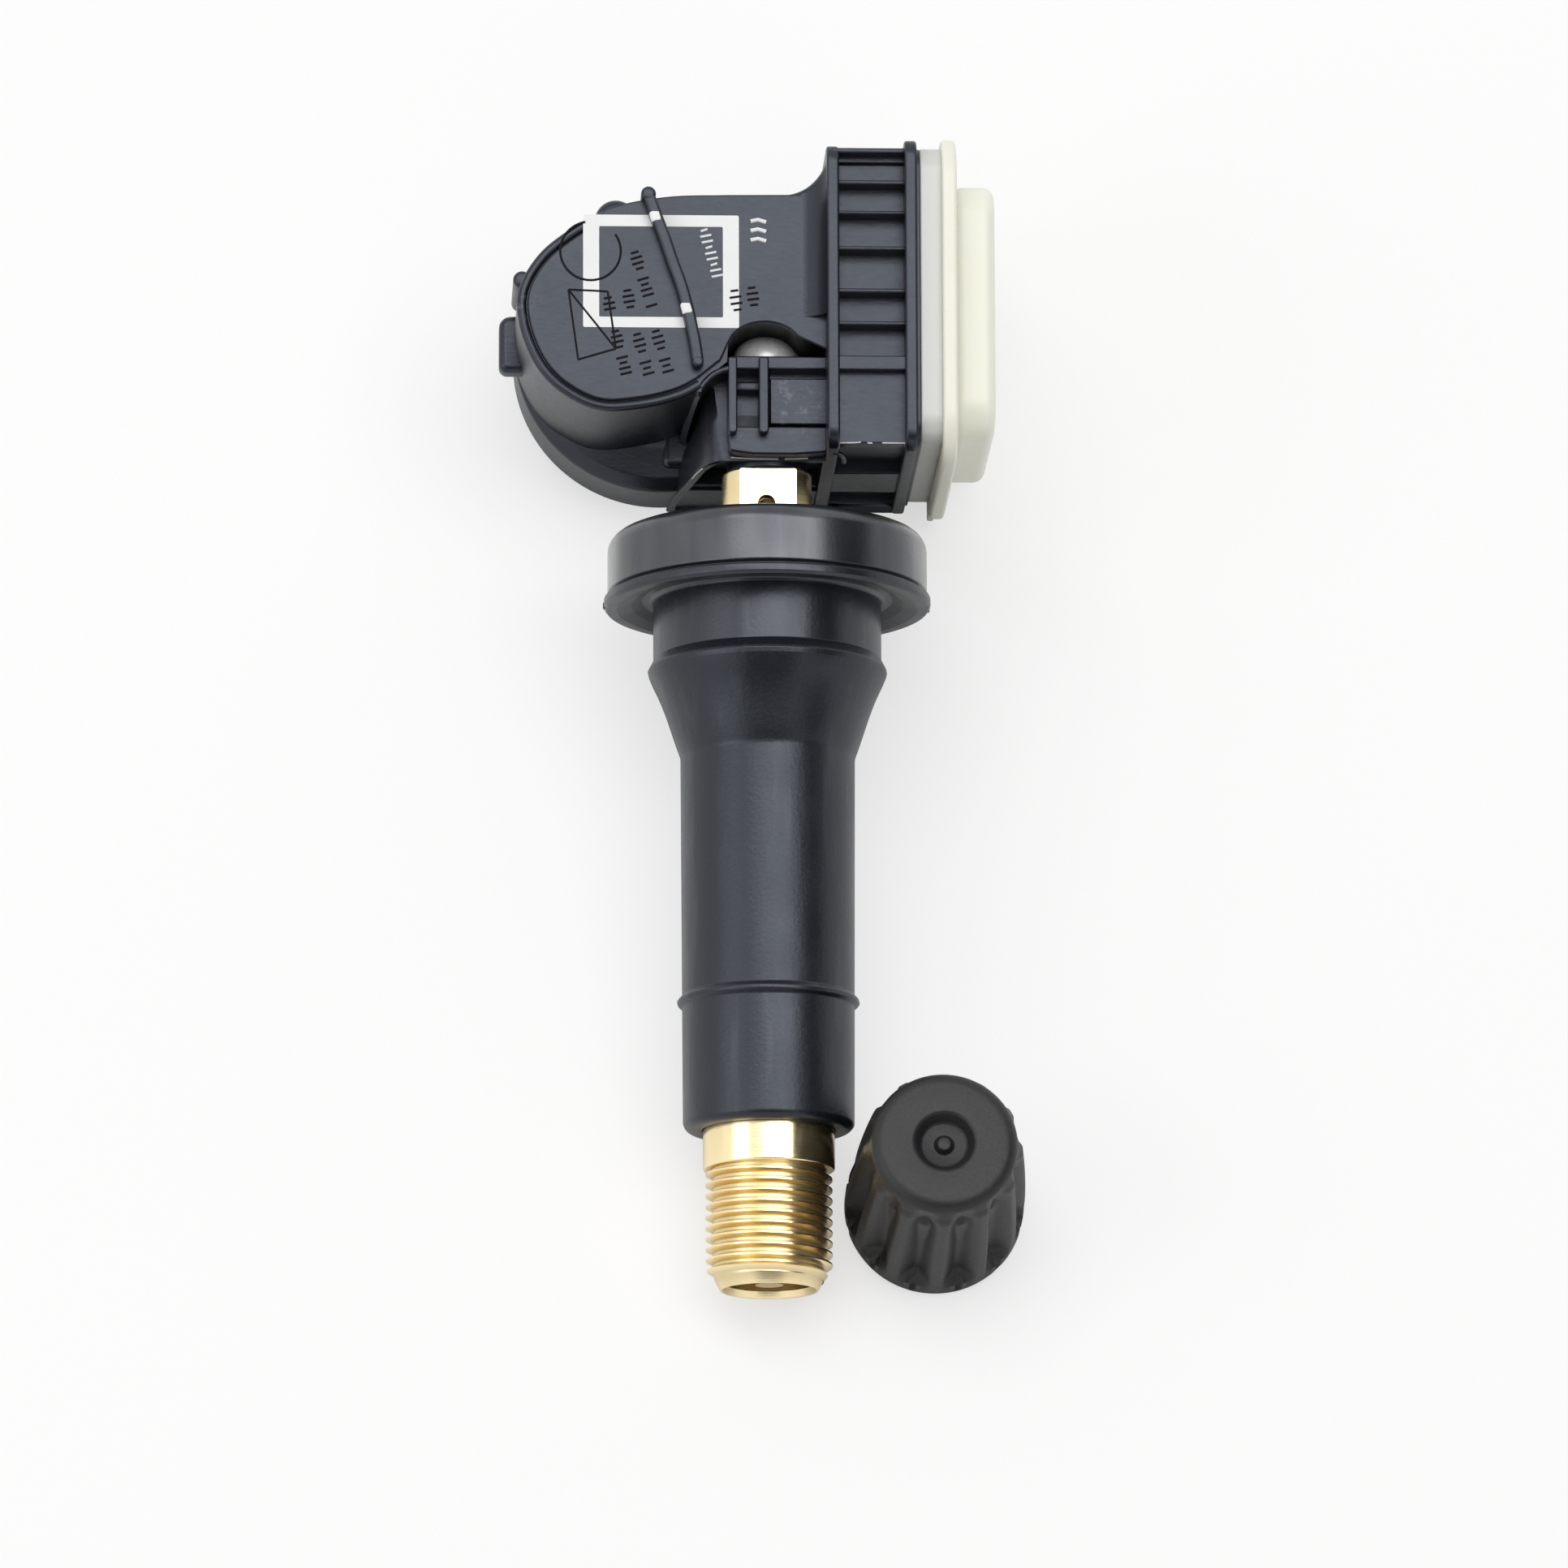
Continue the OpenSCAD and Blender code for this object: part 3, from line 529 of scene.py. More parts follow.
def fillet(corners: list[Corner], closed: bool = False, steps: int = 5) -> list[Point]:
    """Rounds the corners of a line of points.

    Args:
        corners: Each corner's two coordinates and its round's radius.
        closed: Whether the last corner leads back to the first.
        steps: How many stretches an arc has.

    Returns:
        The points of the rounded line.
    """
    points: list[Point] = []
    count = len(corners)
    for i, (x, y, r) in enumerate(corners):
        here = Vector((x, y))
        if r <= 0 or (not closed and i in (0, count - 1)):
            points.append((x, y))
            continue
        back = Vector(corners[i - 1][:2]) - here
        ahead = Vector(corners[(i + 1) % count][:2]) - here
        half = back.angle(ahead, math.pi) / 2
        if half > STRAIGHT or half < FOLDED:
            points.append((x, y))
            continue
        reach = min(r / math.tan(half), back.length * ROOM, ahead.length * ROOM)
        radius = reach * math.tan(half)
        back.normalize()
        ahead.normalize()
        middle = here + (back + ahead).normalized() * (radius / math.sin(half))
        start = here + back * reach - middle
        turn = start.angle_signed(here + ahead * reach - middle)
        for k in range(steps + 1):
            angle = -turn * k / steps
            c, s = math.cos(angle), math.sin(angle)
            points.append((middle.x + start.x * c - start.y * s, middle.y + start.x * s + start.y * c))
    return points


def round_box(low: Point, high: Point, r: float) -> list[Point]:
    """Gives the outline of a rectangle with round corners.

    Args:
        low: Its lowest corner.
        high: Its highest corner.
        r: Its corners' radius.

    Returns:
        The outline's points, anticlockwise.
    """
    corners = [(*low, r), (high[0], low[1], r), (*high, r), (low[0], high[1], r)]
    return fillet(corners, closed=True, steps=6)


def along_x(x: float) -> Matrix:
    """Turns a prism drawn in XY so that it lies in YZ and rises along +X from x."""
    return Matrix(((0, 0, 1, x), (1, 0, 0, 0), (0, 1, 0, 0), (0, 0, 0, 1)))


def along_y(y: float) -> Matrix:
    """Turns a prism drawn in XY so that it lies in XZ and rises along +Y from y."""
    return Matrix(((1, 0, 0, 0), (0, 0, 1, y), (0, 1, 0, 0), (0, 0, 0, 1)))


def along_z(x: float, y: float) -> Matrix:
    """Stands a turned part's axis up along Z at a place."""
    return Matrix.Translation((x, y, 0)) @ Matrix.Rotation(math.pi / 2, 4, "X")


def arc(x: float, y: float, r: float, first: float, last: float, steps: int) -> list[Point]:
    """Gives the points of an arc, with its angles in degrees."""
    turns = [math.radians(first + (last - first) * k / steps) for k in range(steps + 1)]
    return [(x + r * math.cos(a), y + r * math.sin(a)) for a in turns]


def domed(radius: float, at: float, rise: float, steps: int) -> list[Point]:
    """Gives a dome's profile from its foot to its top, as radius and place."""
    turns = (math.pi / 2 * k / steps for k in range(steps, -1, -1))
    return [(radius * math.sin(a), at + rise * math.cos(a)) for a in turns]


def raised(line: list[Point], z: float) -> list[Vector]:
    """Sets a flat line of points at a height."""
    return [Vector((x, y, z)) for x, y in line]


def grown(line: list[Point], by: float) -> list[Point]:
    """Moves an open line of points to its right-hand side.

    Args:
        line: Its points.
        by: How far it moves.

    Returns:
        The moved points.
    """
    moved = []
    for i, (x, y) in enumerate(line):
        before, after = line[max(i - 1, 0)], line[min(i + 1, len(line) - 1)]
        way = Vector((after[0] - before[0], after[1] - before[1])).normalized()
        moved.append((x + way.y * by, y - way.x * by))
    return moved


def smooth_line(knots: list[Point], steps: int) -> list[Point]:
    """Runs a smooth curve through knots.

    Args:
        knots: The points that it passes.
        steps: How many stretches it has.

    Returns:
        The curve's points.
    """
    ends = [Vector(knots[0]) * 2 - Vector(knots[1]), Vector(knots[-1]) * 2 - Vector(knots[-2])]
    line = [ends[0], *(Vector(k) for k in knots), ends[1]]
    points = []
    for i in range(steps + 1):
        at = i / steps * (len(knots) - 1)
        k = min(int(at), len(knots) - 2)
        t = at - k
        a, b, c, d = line[k : k + 4]
        bend = (2 * a - 5 * b + 4 * c - d) * t**2
        spot = 0.5 * (2 * b + (c - a) * t + bend + (3 * b - 3 * c + d - a) * t**3)
        points.append((spot.x, spot.y))
    return points


def band(path: list[Point], width: float) -> list[Point]:
    """Thickens an open path into an outline."""
    return grown(path, width / 2) + grown(path, -width / 2)[::-1]


def skin(part: bmesh.types.BMesh, loops: list[list[bmesh.types.BMVert]]) -> None:
    """Joins each loop of vertices to the next with a band of faces.

    Args:
        part: The mesh that the loops are in.
        loops: The loops, each with the same number of vertices.
    """
    for one, two in zip(loops, loops[1:]):
        for k in range(len(one)):
            n = (k + 1) % len(one)
            part.faces.new((one[k], one[n], two[n], two[k]))


class Forge:
    """Gathers closed solids in the stem frame and turns them into one piece."""

    def __init__(self, name: str, laid: bool = True) -> None:
        """Starts an empty piece.

        Args:
            name: The piece's name.
            laid: Whether it is drawn in the stem frame, and not in the row frame.
        """
        self.name = name
        self.laid = laid
        self.whole = bmesh.new()

    def _keep(self, part: bmesh.types.BMesh, turn: Matrix | None = None) -> None:
        """Adds a part to the piece.

        Args:
            part: The part's mesh, which is used up.
            turn: Where it goes.
        """
        if turn is not None:
            part.transform(turn)
        bmesh.ops.recalc_face_normals(part, faces=part.faces[:])
        scratch = bpy.data.meshes.new("part")
        part.to_mesh(scratch)
        part.free()
        self.whole.from_mesh(scratch)
        bpy.data.meshes.remove(scratch)

    def _soften(self, part: bmesh.types.BMesh, edge: float, segments: int) -> None:
        """Rounds a part's sharp edges.

        Args:
            part: The part's mesh.
            edge: The round's width.
            segments: How many stretches it has.
        """
        if edge <= 0:
            return
        sharp = [e for e in part.edges if len(e.link_faces) == 2 and e.calc_face_angle() > BENT]
        bmesh.ops.bevel(
            part, geom=sharp, offset=edge, offset_type="OFFSET", segments=segments, profile=0.5,
            affect="EDGES", clamp_overlap=True,
        )

    def prism(
        self, outline: list[Point], low: float, high: float, edge: float = 0.1,
        segments: int = 2, turn: Matrix | None = None,
    ) -> None:
        """Adds an outline raised along Z.

        Args:
            outline: Its points.
            low: Where it starts.
            high: Where it ends.
            edge: The width of its edge round.
            segments: How many stretches the round has.
            turn: Where it goes.
        """
        part = bmesh.new()
        base, top = ([part.verts.new((*p, z)) for p in outline] for z in (low, high))
        part.faces.new(base)
        part.faces.new(top)
        skin(part, [base, top])
        bmesh.ops.recalc_face_normals(part, faces=part.faces[:])
        self._soften(part, edge, segments)
        self._keep(part, turn)

    def block(self, low: Corner, high: Corner, edge: float = 0.1, segments: int = 2) -> None:
        """Adds a box between two corners, with round edges."""
        outline = [(low[0], low[1]), (high[0], low[1]), (high[0], high[1]), (low[0], high[1])]
        self.prism(outline, low[2], high[2], edge, segments)

    def join(self, other: Forge) -> None:
        """Takes in another forge's solids, and uses that one up."""
        self._keep(other.whole)

    def loft(self, rings: list[list[Vector]]) -> None:
        """Adds a solid that runs through outlines.

        Args:
            rings: The outlines, each with the same number of points.
        """
        part = bmesh.new()
        loops = [[part.verts.new(p) for p in ring] for ring in rings]
        skin(part, loops)
        part.faces.new(loops[0])
        part.faces.new(loops[-1])
        self._keep(part)

    def ring(self, outer: list[Point], inner: list[Point], low: float, high: float) -> None:
        """Adds a flat frame between two outlines with the same number of points.

        Args:
            outer: The outer outline.
            inner: The inner outline.
            low: Where it starts.
            high: Where it ends.
        """
        part = bmesh.new()
        sides = ((outer, low), (outer, high), (inner, high), (inner, low))
        loops = [[part.verts.new((*p, z)) for p in line] for line, z in sides]
        skin(part, loops + loops[:1])
        self._keep(part)

    def lathe(
        self, profile: list[Point], steps: int = 96, turn: Matrix | None = None,
        shape: object = None, closed: bool = False,
    ) -> None:
        """Adds a profile turned about the stem's axis.

        Args:
            profile: Radius and place along the axis.
            steps: How many stretches a turn has.
            turn: Where it goes.
            shape: A function of angle, radius and place that gives a new radius and place.
            closed: Whether the profile leads back to its start.
        """
        part = bmesh.new()
        rings = []
        for r, y in profile:
            if r < 1e-6:
                rings.append([part.verts.new((0, y, 0))])
                continue
            ring = []
            for k in range(steps):
                angle = math.tau * k / steps
                rr, yy = shape(angle, r, y) if shape else (r, y)
                ring.append(part.verts.new((rr * math.sin(angle), yy, rr * math.cos(angle))))
            rings.append(ring)
        pairs = list(zip(rings, rings[1:]))
        if closed:
            pairs.append((rings[-1], rings[0]))
        for one, two in pairs:
            for k in range(steps):
                n = (k + 1) % steps
                corners = [one[k % len(one)], one[n % len(one)], two[n % len(two)], two[k % len(two)]]
                unique = list(dict.fromkeys(corners))
                if len(unique) > 2:
                    part.faces.new(unique)
        self._keep(part, turn)

    def tube(self, path: list[Vector], radius: float, sides: int = 10) -> None:
        """Adds a round bar along a path.

        Args:
            path: The points of its middle line.
            radius: Its radius.
            sides: How many sides it has.
        """
        part = bmesh.new()
        rings = []
        side = Vector((0, 0, 1))
        for i, here in enumerate(path):
            before = path[max(i - 1, 0)]
            after = path[min(i + 1, len(path) - 1)]
            way = (after - before).normalized()
            if side.cross(way).length > 1e-3:
                side = (side - way * side.dot(way)).normalized()
            else:
                side = way.orthogonal()
            up = way.cross(side)
            rings.append([
                part.verts.new(here + side * math.cos(a) * radius + up * math.sin(a) * radius)
                for a in (math.tau * k / sides for k in range(sides))
            ])
        skin(part, rings)
        part.faces.new(rings[0])
        part.faces.new(rings[-1])
        self._keep(part)

    def thread(
        self, low: float, high: float, crest: float, root: float, pitch: float,
        limit: object, steps: int = 72,
    ) -> None:
        """Adds a thread's skin, wound as one strip round the stem's axis.

        Args:
            low: Where it starts, as a distance in front of the seat.
            high: Where it ends.
            crest: The radius of its crest.
            root: The radius of its root.
            pitch: How far it advances in a turn.
            limit: A function of the distance that gives the largest radius there.
            steps: How many stretches a turn has.
        """
        shape = [(0.0, root), (0.1, root), (0.42, crest), (0.58, crest), (0.9, root), (1.0, root)]
        sunk = root - 0.06
        run_out = steps * 0.6
        part = bmesh.new()
        total = int((high - low) / pitch * steps)
        rows = []
        for j in range(total + 1):
            angle = math.tau * j / steps
            start = low + pitch * j / steps - pitch
            fade = min(1.0, j / run_out, (total - j) / run_out + 0.05)
            row = []
            for share, r in shape:
                d = start + pitch * share
                rr = min(sunk + (r - sunk) * fade, max(sunk, limit(d)))
                d = min(max(d, low - 0.05), high)
                row.append(part.verts.new((rr * math.sin(angle), -d, rr * math.cos(angle))))
            rows.append(row)
        for one, two in zip(rows, rows[1:]):
            for k in range(len(shape) - 1):
                part.faces.new((one[k], two[k], two[k + 1], one[k + 1]))
        bmesh.ops.remove_doubles(part, verts=part.verts[:], dist=1e-4)
        self._keep(part)

    def carve(self, cutter: Forge) -> None:
        """Cuts another forge's solids out of this one.

        Args:
            cutter: The other forge, which is used up.
        """
        pair = []
        for source in (self, cutter):
            mesh = bpy.data.meshes.new("carving")
            source.whole.to_mesh(mesh)
            source.whole.free()
            pair.append(bpy.data.objects.new("carving", mesh))
            bpy.context.scene.collection.objects.link(pair[-1])
        cut = pair[0].modifiers.new("cut", "BOOLEAN")
        cut.operation, cut.solver, cut.object = "DIFFERENCE", "EXACT", pair[1]
        bpy.context.view_layer.update()
        result = pair[0].evaluated_get(bpy.context.evaluated_depsgraph_get()).to_mesh()
        self.whole = bmesh.new()
        self.whole.from_mesh(result)
        for made in pair:
            bpy.data.objects.remove(made)

    def done(self, look: Look, replaces: str | None = None, sharp: float = 40.0) -> None:
        """Turns the piece into an object that rides on the sensor's body.

        Args:
            look: Its finish.
            replaces: The CAD node that it stands for.
            sharp: The angle in degrees past which an edge is drawn sharp.
        """
        self.whole.transform(Matrix.Scale(MM, 4))
        if self.laid:
            self.whole.transform(LAY)
        for face in self.whole.faces:
            face.smooth = True
        for e in self.whole.edges:
            e.smooth = len(e.link_faces) == 2 and e.calc_face_angle() < math.radians(sharp)
        mesh = bpy.data.meshes.new(self.name)
        self.whole.to_mesh(mesh)
        self.whole.free()
        mesh.materials.append(look.material)
        made = bpy.data.objects.new(self.name, mesh)
        bpy.context.scene.collection.objects.link(made)
        made.modifiers.new("weights", "WEIGHTED_NORMAL").keep_sharp = True
        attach(made, SENSOR)
        if replaces:
            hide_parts(replaces)
        LOG.info("%s: %d faces", self.name, len(mesh.polygons))


@dataclass
class StemRubber:
    """The moulded rubber of the snap-in valve."""

    flange: float = 10.0
    body: float = 9.78
    back: float = 4.05
    back_round: float = 1.1
    lip_end: float = 0.35
    groove: float = 6.95
    groove_len: float = 3.8
    bulge: float = 7.3
    bulge_at: float = 4.5
    cone_at: float = 4.9
    cone_sag: float = 0.12
    neck: float = 5.3
    neck_at: float = 9.9
    end: float = 5.18
    length: float = 33.0
    bead_at: float = 25.1
    bead: float = 0.3
    bore: float = 2.76
    collar_bore: float = 4.04
    collar_depth: float = 1.5
    line_w: float = 0.035
    line_h: float = 0.03
    scraps: tuple[Point, ...] = ((1.66, 0.2), (1.79, 0.13), (-1.62, 0.22), (-1.74, 0.15), (-1.5, 0.12))

    def build(self) -> None:
        """Turns the rubber and dresses it."""
        piece = Forge("valve_rubber")
        section = [(r, -d) for r, d in fillet(self.flange_side() + self.neck_side(), closed=True, steps=6)]
        piece.lathe(section, 160, shape=self.parting, closed=True)
        self.add_flash(piece)
        piece.done(Look.RUBBER, "rubber_body", sharp=50)

    def flange_side(self) -> list[Corner]:
        """Gives the corners of the flange, its lip, the groove and the snap bulge.

        Returns:
            The corners as radius, distance in front of the seat and round.
        """
        edge, lip, swell = self.flange - 0.15, self.lip_end + 0.2, self.bulge - 0.06
        return [
            (self.bore, -self.back, 0), (self.body, -self.back, self.back_round), (self.body, -0.42, 0.12),
            (self.body - 0.2, -0.24, 0.04), (self.body - 0.14, -0.14, 0.03), (self.flange, -0.06, 0.06),
            (self.flange, self.lip_end, 0.12), (edge, lip, 0.1), (edge - 0.65, lip, 0.3),
            (self.flange - 1.7, 0.3, 0.5), (self.groove + 0.7, 0.0, 0.2), (self.groove, 0.0, 0.7),
            (self.groove, self.groove_len, 0.2), (swell, self.groove_len + 0.55, 0.1),
            (self.bulge, self.bulge_at, 0.1), (swell, self.bulge_at + 0.28, 0.1),
        ]

    def neck_side(self) -> list[Corner]:
        """Gives the corners of the cone, the neck, the bead and the open end.

        Returns:
            The corners as radius, distance in front of the seat and round.
        """
        span = self.neck_at - self.cone_at
        drop = self.bulge - 0.06 - self.neck
        cone = [
            (self.neck + drop * (1 - k) * (1 - self.cone_sag * math.sin(math.pi * k)),
             self.cone_at + span * k, 0.0)
            for k in (i / 12 for i in range(1, 12))
        ]
        fall = (self.neck - self.end) / (self.length - self.neck_at)
        foot = self.neck - fall * (self.bead_at - self.neck_at)
        step = self.length - self.collar_depth
        return [
            *cone, (self.neck, self.neck_at, 1.0), (foot, self.bead_at - 0.42, 0.12),
            (foot + self.bead, self.bead_at - 0.14, 0.15), (foot + self.bead, self.bead_at + 0.1, 0.15),
            (foot, self.bead_at + 0.3, 0.1), (self.end, self.length, 0.5),
            (self.collar_bore, self.length, 0.1), (self.collar_bore, step, 0), (self.bore, step, 0),
        ]

    def parting(self, angle: float, r: float, y: float) -> Point:
        """Adds the thin line where the mould's halves meet, at both sides.

        Args:
            angle: The angle round the stem.
            r: The radius there.
            y: The place along the stem.

        Returns:
            The new radius and place.
        """
        near = max(0.0, 1.0 - abs(math.cos(angle)) / self.line_w)
        proud = self.line_h * near if self.end - 0.3 < r < self.flange - 0.3 else 0.0
        return r + proud, y

    def add_flash(self, piece: Forge) -> None:
        """Leaves the small scraps of flash on the lip at both sides.

        Args:
            piece: The rubber.
        """
        r = self.flange - 0.16
        for angle, size in self.scraps:
            x, z = r * math.sin(angle), r * math.cos(angle)
            low = (x - size, -self.lip_end - size * 0.5, z - size)
            piece.block(low, (x + size, -0.1 + size * 0.3, z + size), size * 0.4)


@dataclass
class BrassStem:
    """The brass tube with its collar, thread and mouth."""

    tube: float = 2.75
    back: float = 7.86
    flat: float = 2.13
    flat_from: float = 3.6
    collar: float = 4.0
    collar_from: float = 31.5
    collar_to: float = 35.4
    relief: float = 0.4
    crest: float = 3.85
    root: float = 3.36
    pitch: float = 0.66
    thread_to: float = 42.0
    tip: float = 42.79
    mouth: float = 2.87
    bore: float = 2.62
    seat: float = 36.25
    throat: float = 1.95
    throat_from: float = 28.25
    air: float = 1.25
    hole: float = 0.5
    hole_x: float = -0.1
    hole_at: float = 5.66
    chamfer: float = 0.75

    def build(self) -> None:
        """Builds the tube, cuts the flat and the cross hole, and winds the thread round it."""
        piece = Forge("valve_stem")
        section = fillet([
            (self.air, -self.back, 0), (self.tube, -self.back, 0.1), (self.tube, self.collar_from, 0),
            (self.collar, self.collar_from, 0.1), (self.collar, self.collar_to, 0.12),
            (self.root + 0.1, self.collar_to + 0.02, 0.06),
            (self.root + 0.04, self.collar_to + self.relief, 0), (self.root, self.thread_to, 0),
            (self.root - 0.05, self.thread_to + 0.15, 0.1), (self.mouth + 0.1, self.tip, 0.12),
            (self.mouth - 0.02, self.tip, 0.05), (self.bore, self.tip - 0.4, 0.05),
            (self.bore, self.seat, 0.0), (self.throat, self.seat - 1.4, 0),
            (self.throat, self.throat_from, 0), (self.air, self.throat_from, 0),
        ], closed=True, steps=5)
        piece.lathe([(r, -d) for r, d in section], 128, closed=True)
        drill = Forge("drill")
        low, high = 0.2, 3.2
        drill.lathe([(0, low), (self.hole, low), (self.hole, self.flat - 0.1), (self.hole + 0.5, high),
                     (0, high)], 48, along_z(self.hole_x, self.hole_at))
        piece.carve(drill)
        planer = Forge("planer")
        planer.block((-3, self.flat_from, self.flat), (3, self.back + 1.14, self.flat + 1.37), 0)
        piece.carve(planer)
        piece.thread(self.collar_to + 0.12, self.thread_to + 0.45, self.crest, self.root, self.pitch,
                     self.chamfered)
        piece.done(Look.BRASS, "brass_stem", sharp=35)

    def chamfered(self, d: float) -> float:
        """Gives the thread's largest radius at a distance, smaller towards the mouth."""
        return self.crest - max(0.0, d - self.thread_to + 0.5) * self.chamfer


@dataclass
class ValveCap:
    """The fluted cap that stands beside the stem."""

    x: float = 10.2
    back: float = 6.4
    stem_tip: float = 42.8
    height: float = 13.2
    base: float = 5.45
    top: float = 4.35
    skirt: float = 1.9
    flutes: int = 12
    flute: float = 0.95
    nick: float = 0.3
    bore: float = 3.97
    roof: float = 3.2
    dimple: float = 1.5

    def build(self) -> None:
        """Turns the cap's fluted wall, its dimple and its bore."""
        high, upper = self.height, self.top + 0.25
        wall = [
            (self.base + (upper - self.base) * ((z - self.skirt) / (high - self.skirt)) ** 1.5, z, 0)
            for z in (self.skirt + 0.3 * k for k in range(33))
        ]
        section = fillet([
            (self.bore, 0, 0), (self.base - 0.12, 0, 0.1), (self.base, 0.5, 0.2),
            (self.base, self.skirt - 0.3, 0.3), *wall, (upper, high - 1.3, 0.2), (self.top - 0.1, high, 1.25),
            (self.dimple + 0.35, high - 0.02, 0.3), (self.dimple - 0.1, high - 0.8, 0.3),
            (0.6, high - 0.95, 0.15), (0.4, high - 0.5, 0.14), (0, high - 0.45, 0),
        ], steps=6)
        inner = [(0, high - self.roof), (self.bore, high - self.roof)]
        stand = Matrix.Translation((0, 0, GROUND / MM))
        piece = Forge("valve_cap", laid=False)
        piece.lathe(inner + section, 288, stand @ along_z(self.x, self.back - self.stem_tip * PUSH.y),
                    shape=self.fluted)
        piece.done(Look.CAP, "cap_shell", sharp=50)

    def fluted(self, angle: float, r: float, z: float) -> Point:
        """Scallops the wall above the skirt, and nicks the skirt under each scallop.

        Args:
            angle: The angle round the cap.
            r: The radius there.
            z: The height above the ground.

        Returns:
            The new radius and the height.
        """
        if r < self.top - 0.6 or r <= self.bore + 0.01:
            return r, z
        wave = 0.5 - 0.5 * math.cos(angle * self.flutes)
        if z < self.skirt - 0.2:
            return (r - self.nick * max(0.0, wave - 0.93) / 0.07 if z > 0.4 else r), z
        rise = max(0.0, min(1.0, (z - self.skirt + 0.2) / 0.45)) ** 0.7
        fall = min(1.0, max(0.0, (self.height - 1.0 - z) / 2.0)) ** 0.6
        cut = self.flute * max(0.0, wave - 0.1) / 0.9 * rise * fall
        return max(self.bore + 0.3, r - cut) if z < self.height - self.roof else r - cut, z


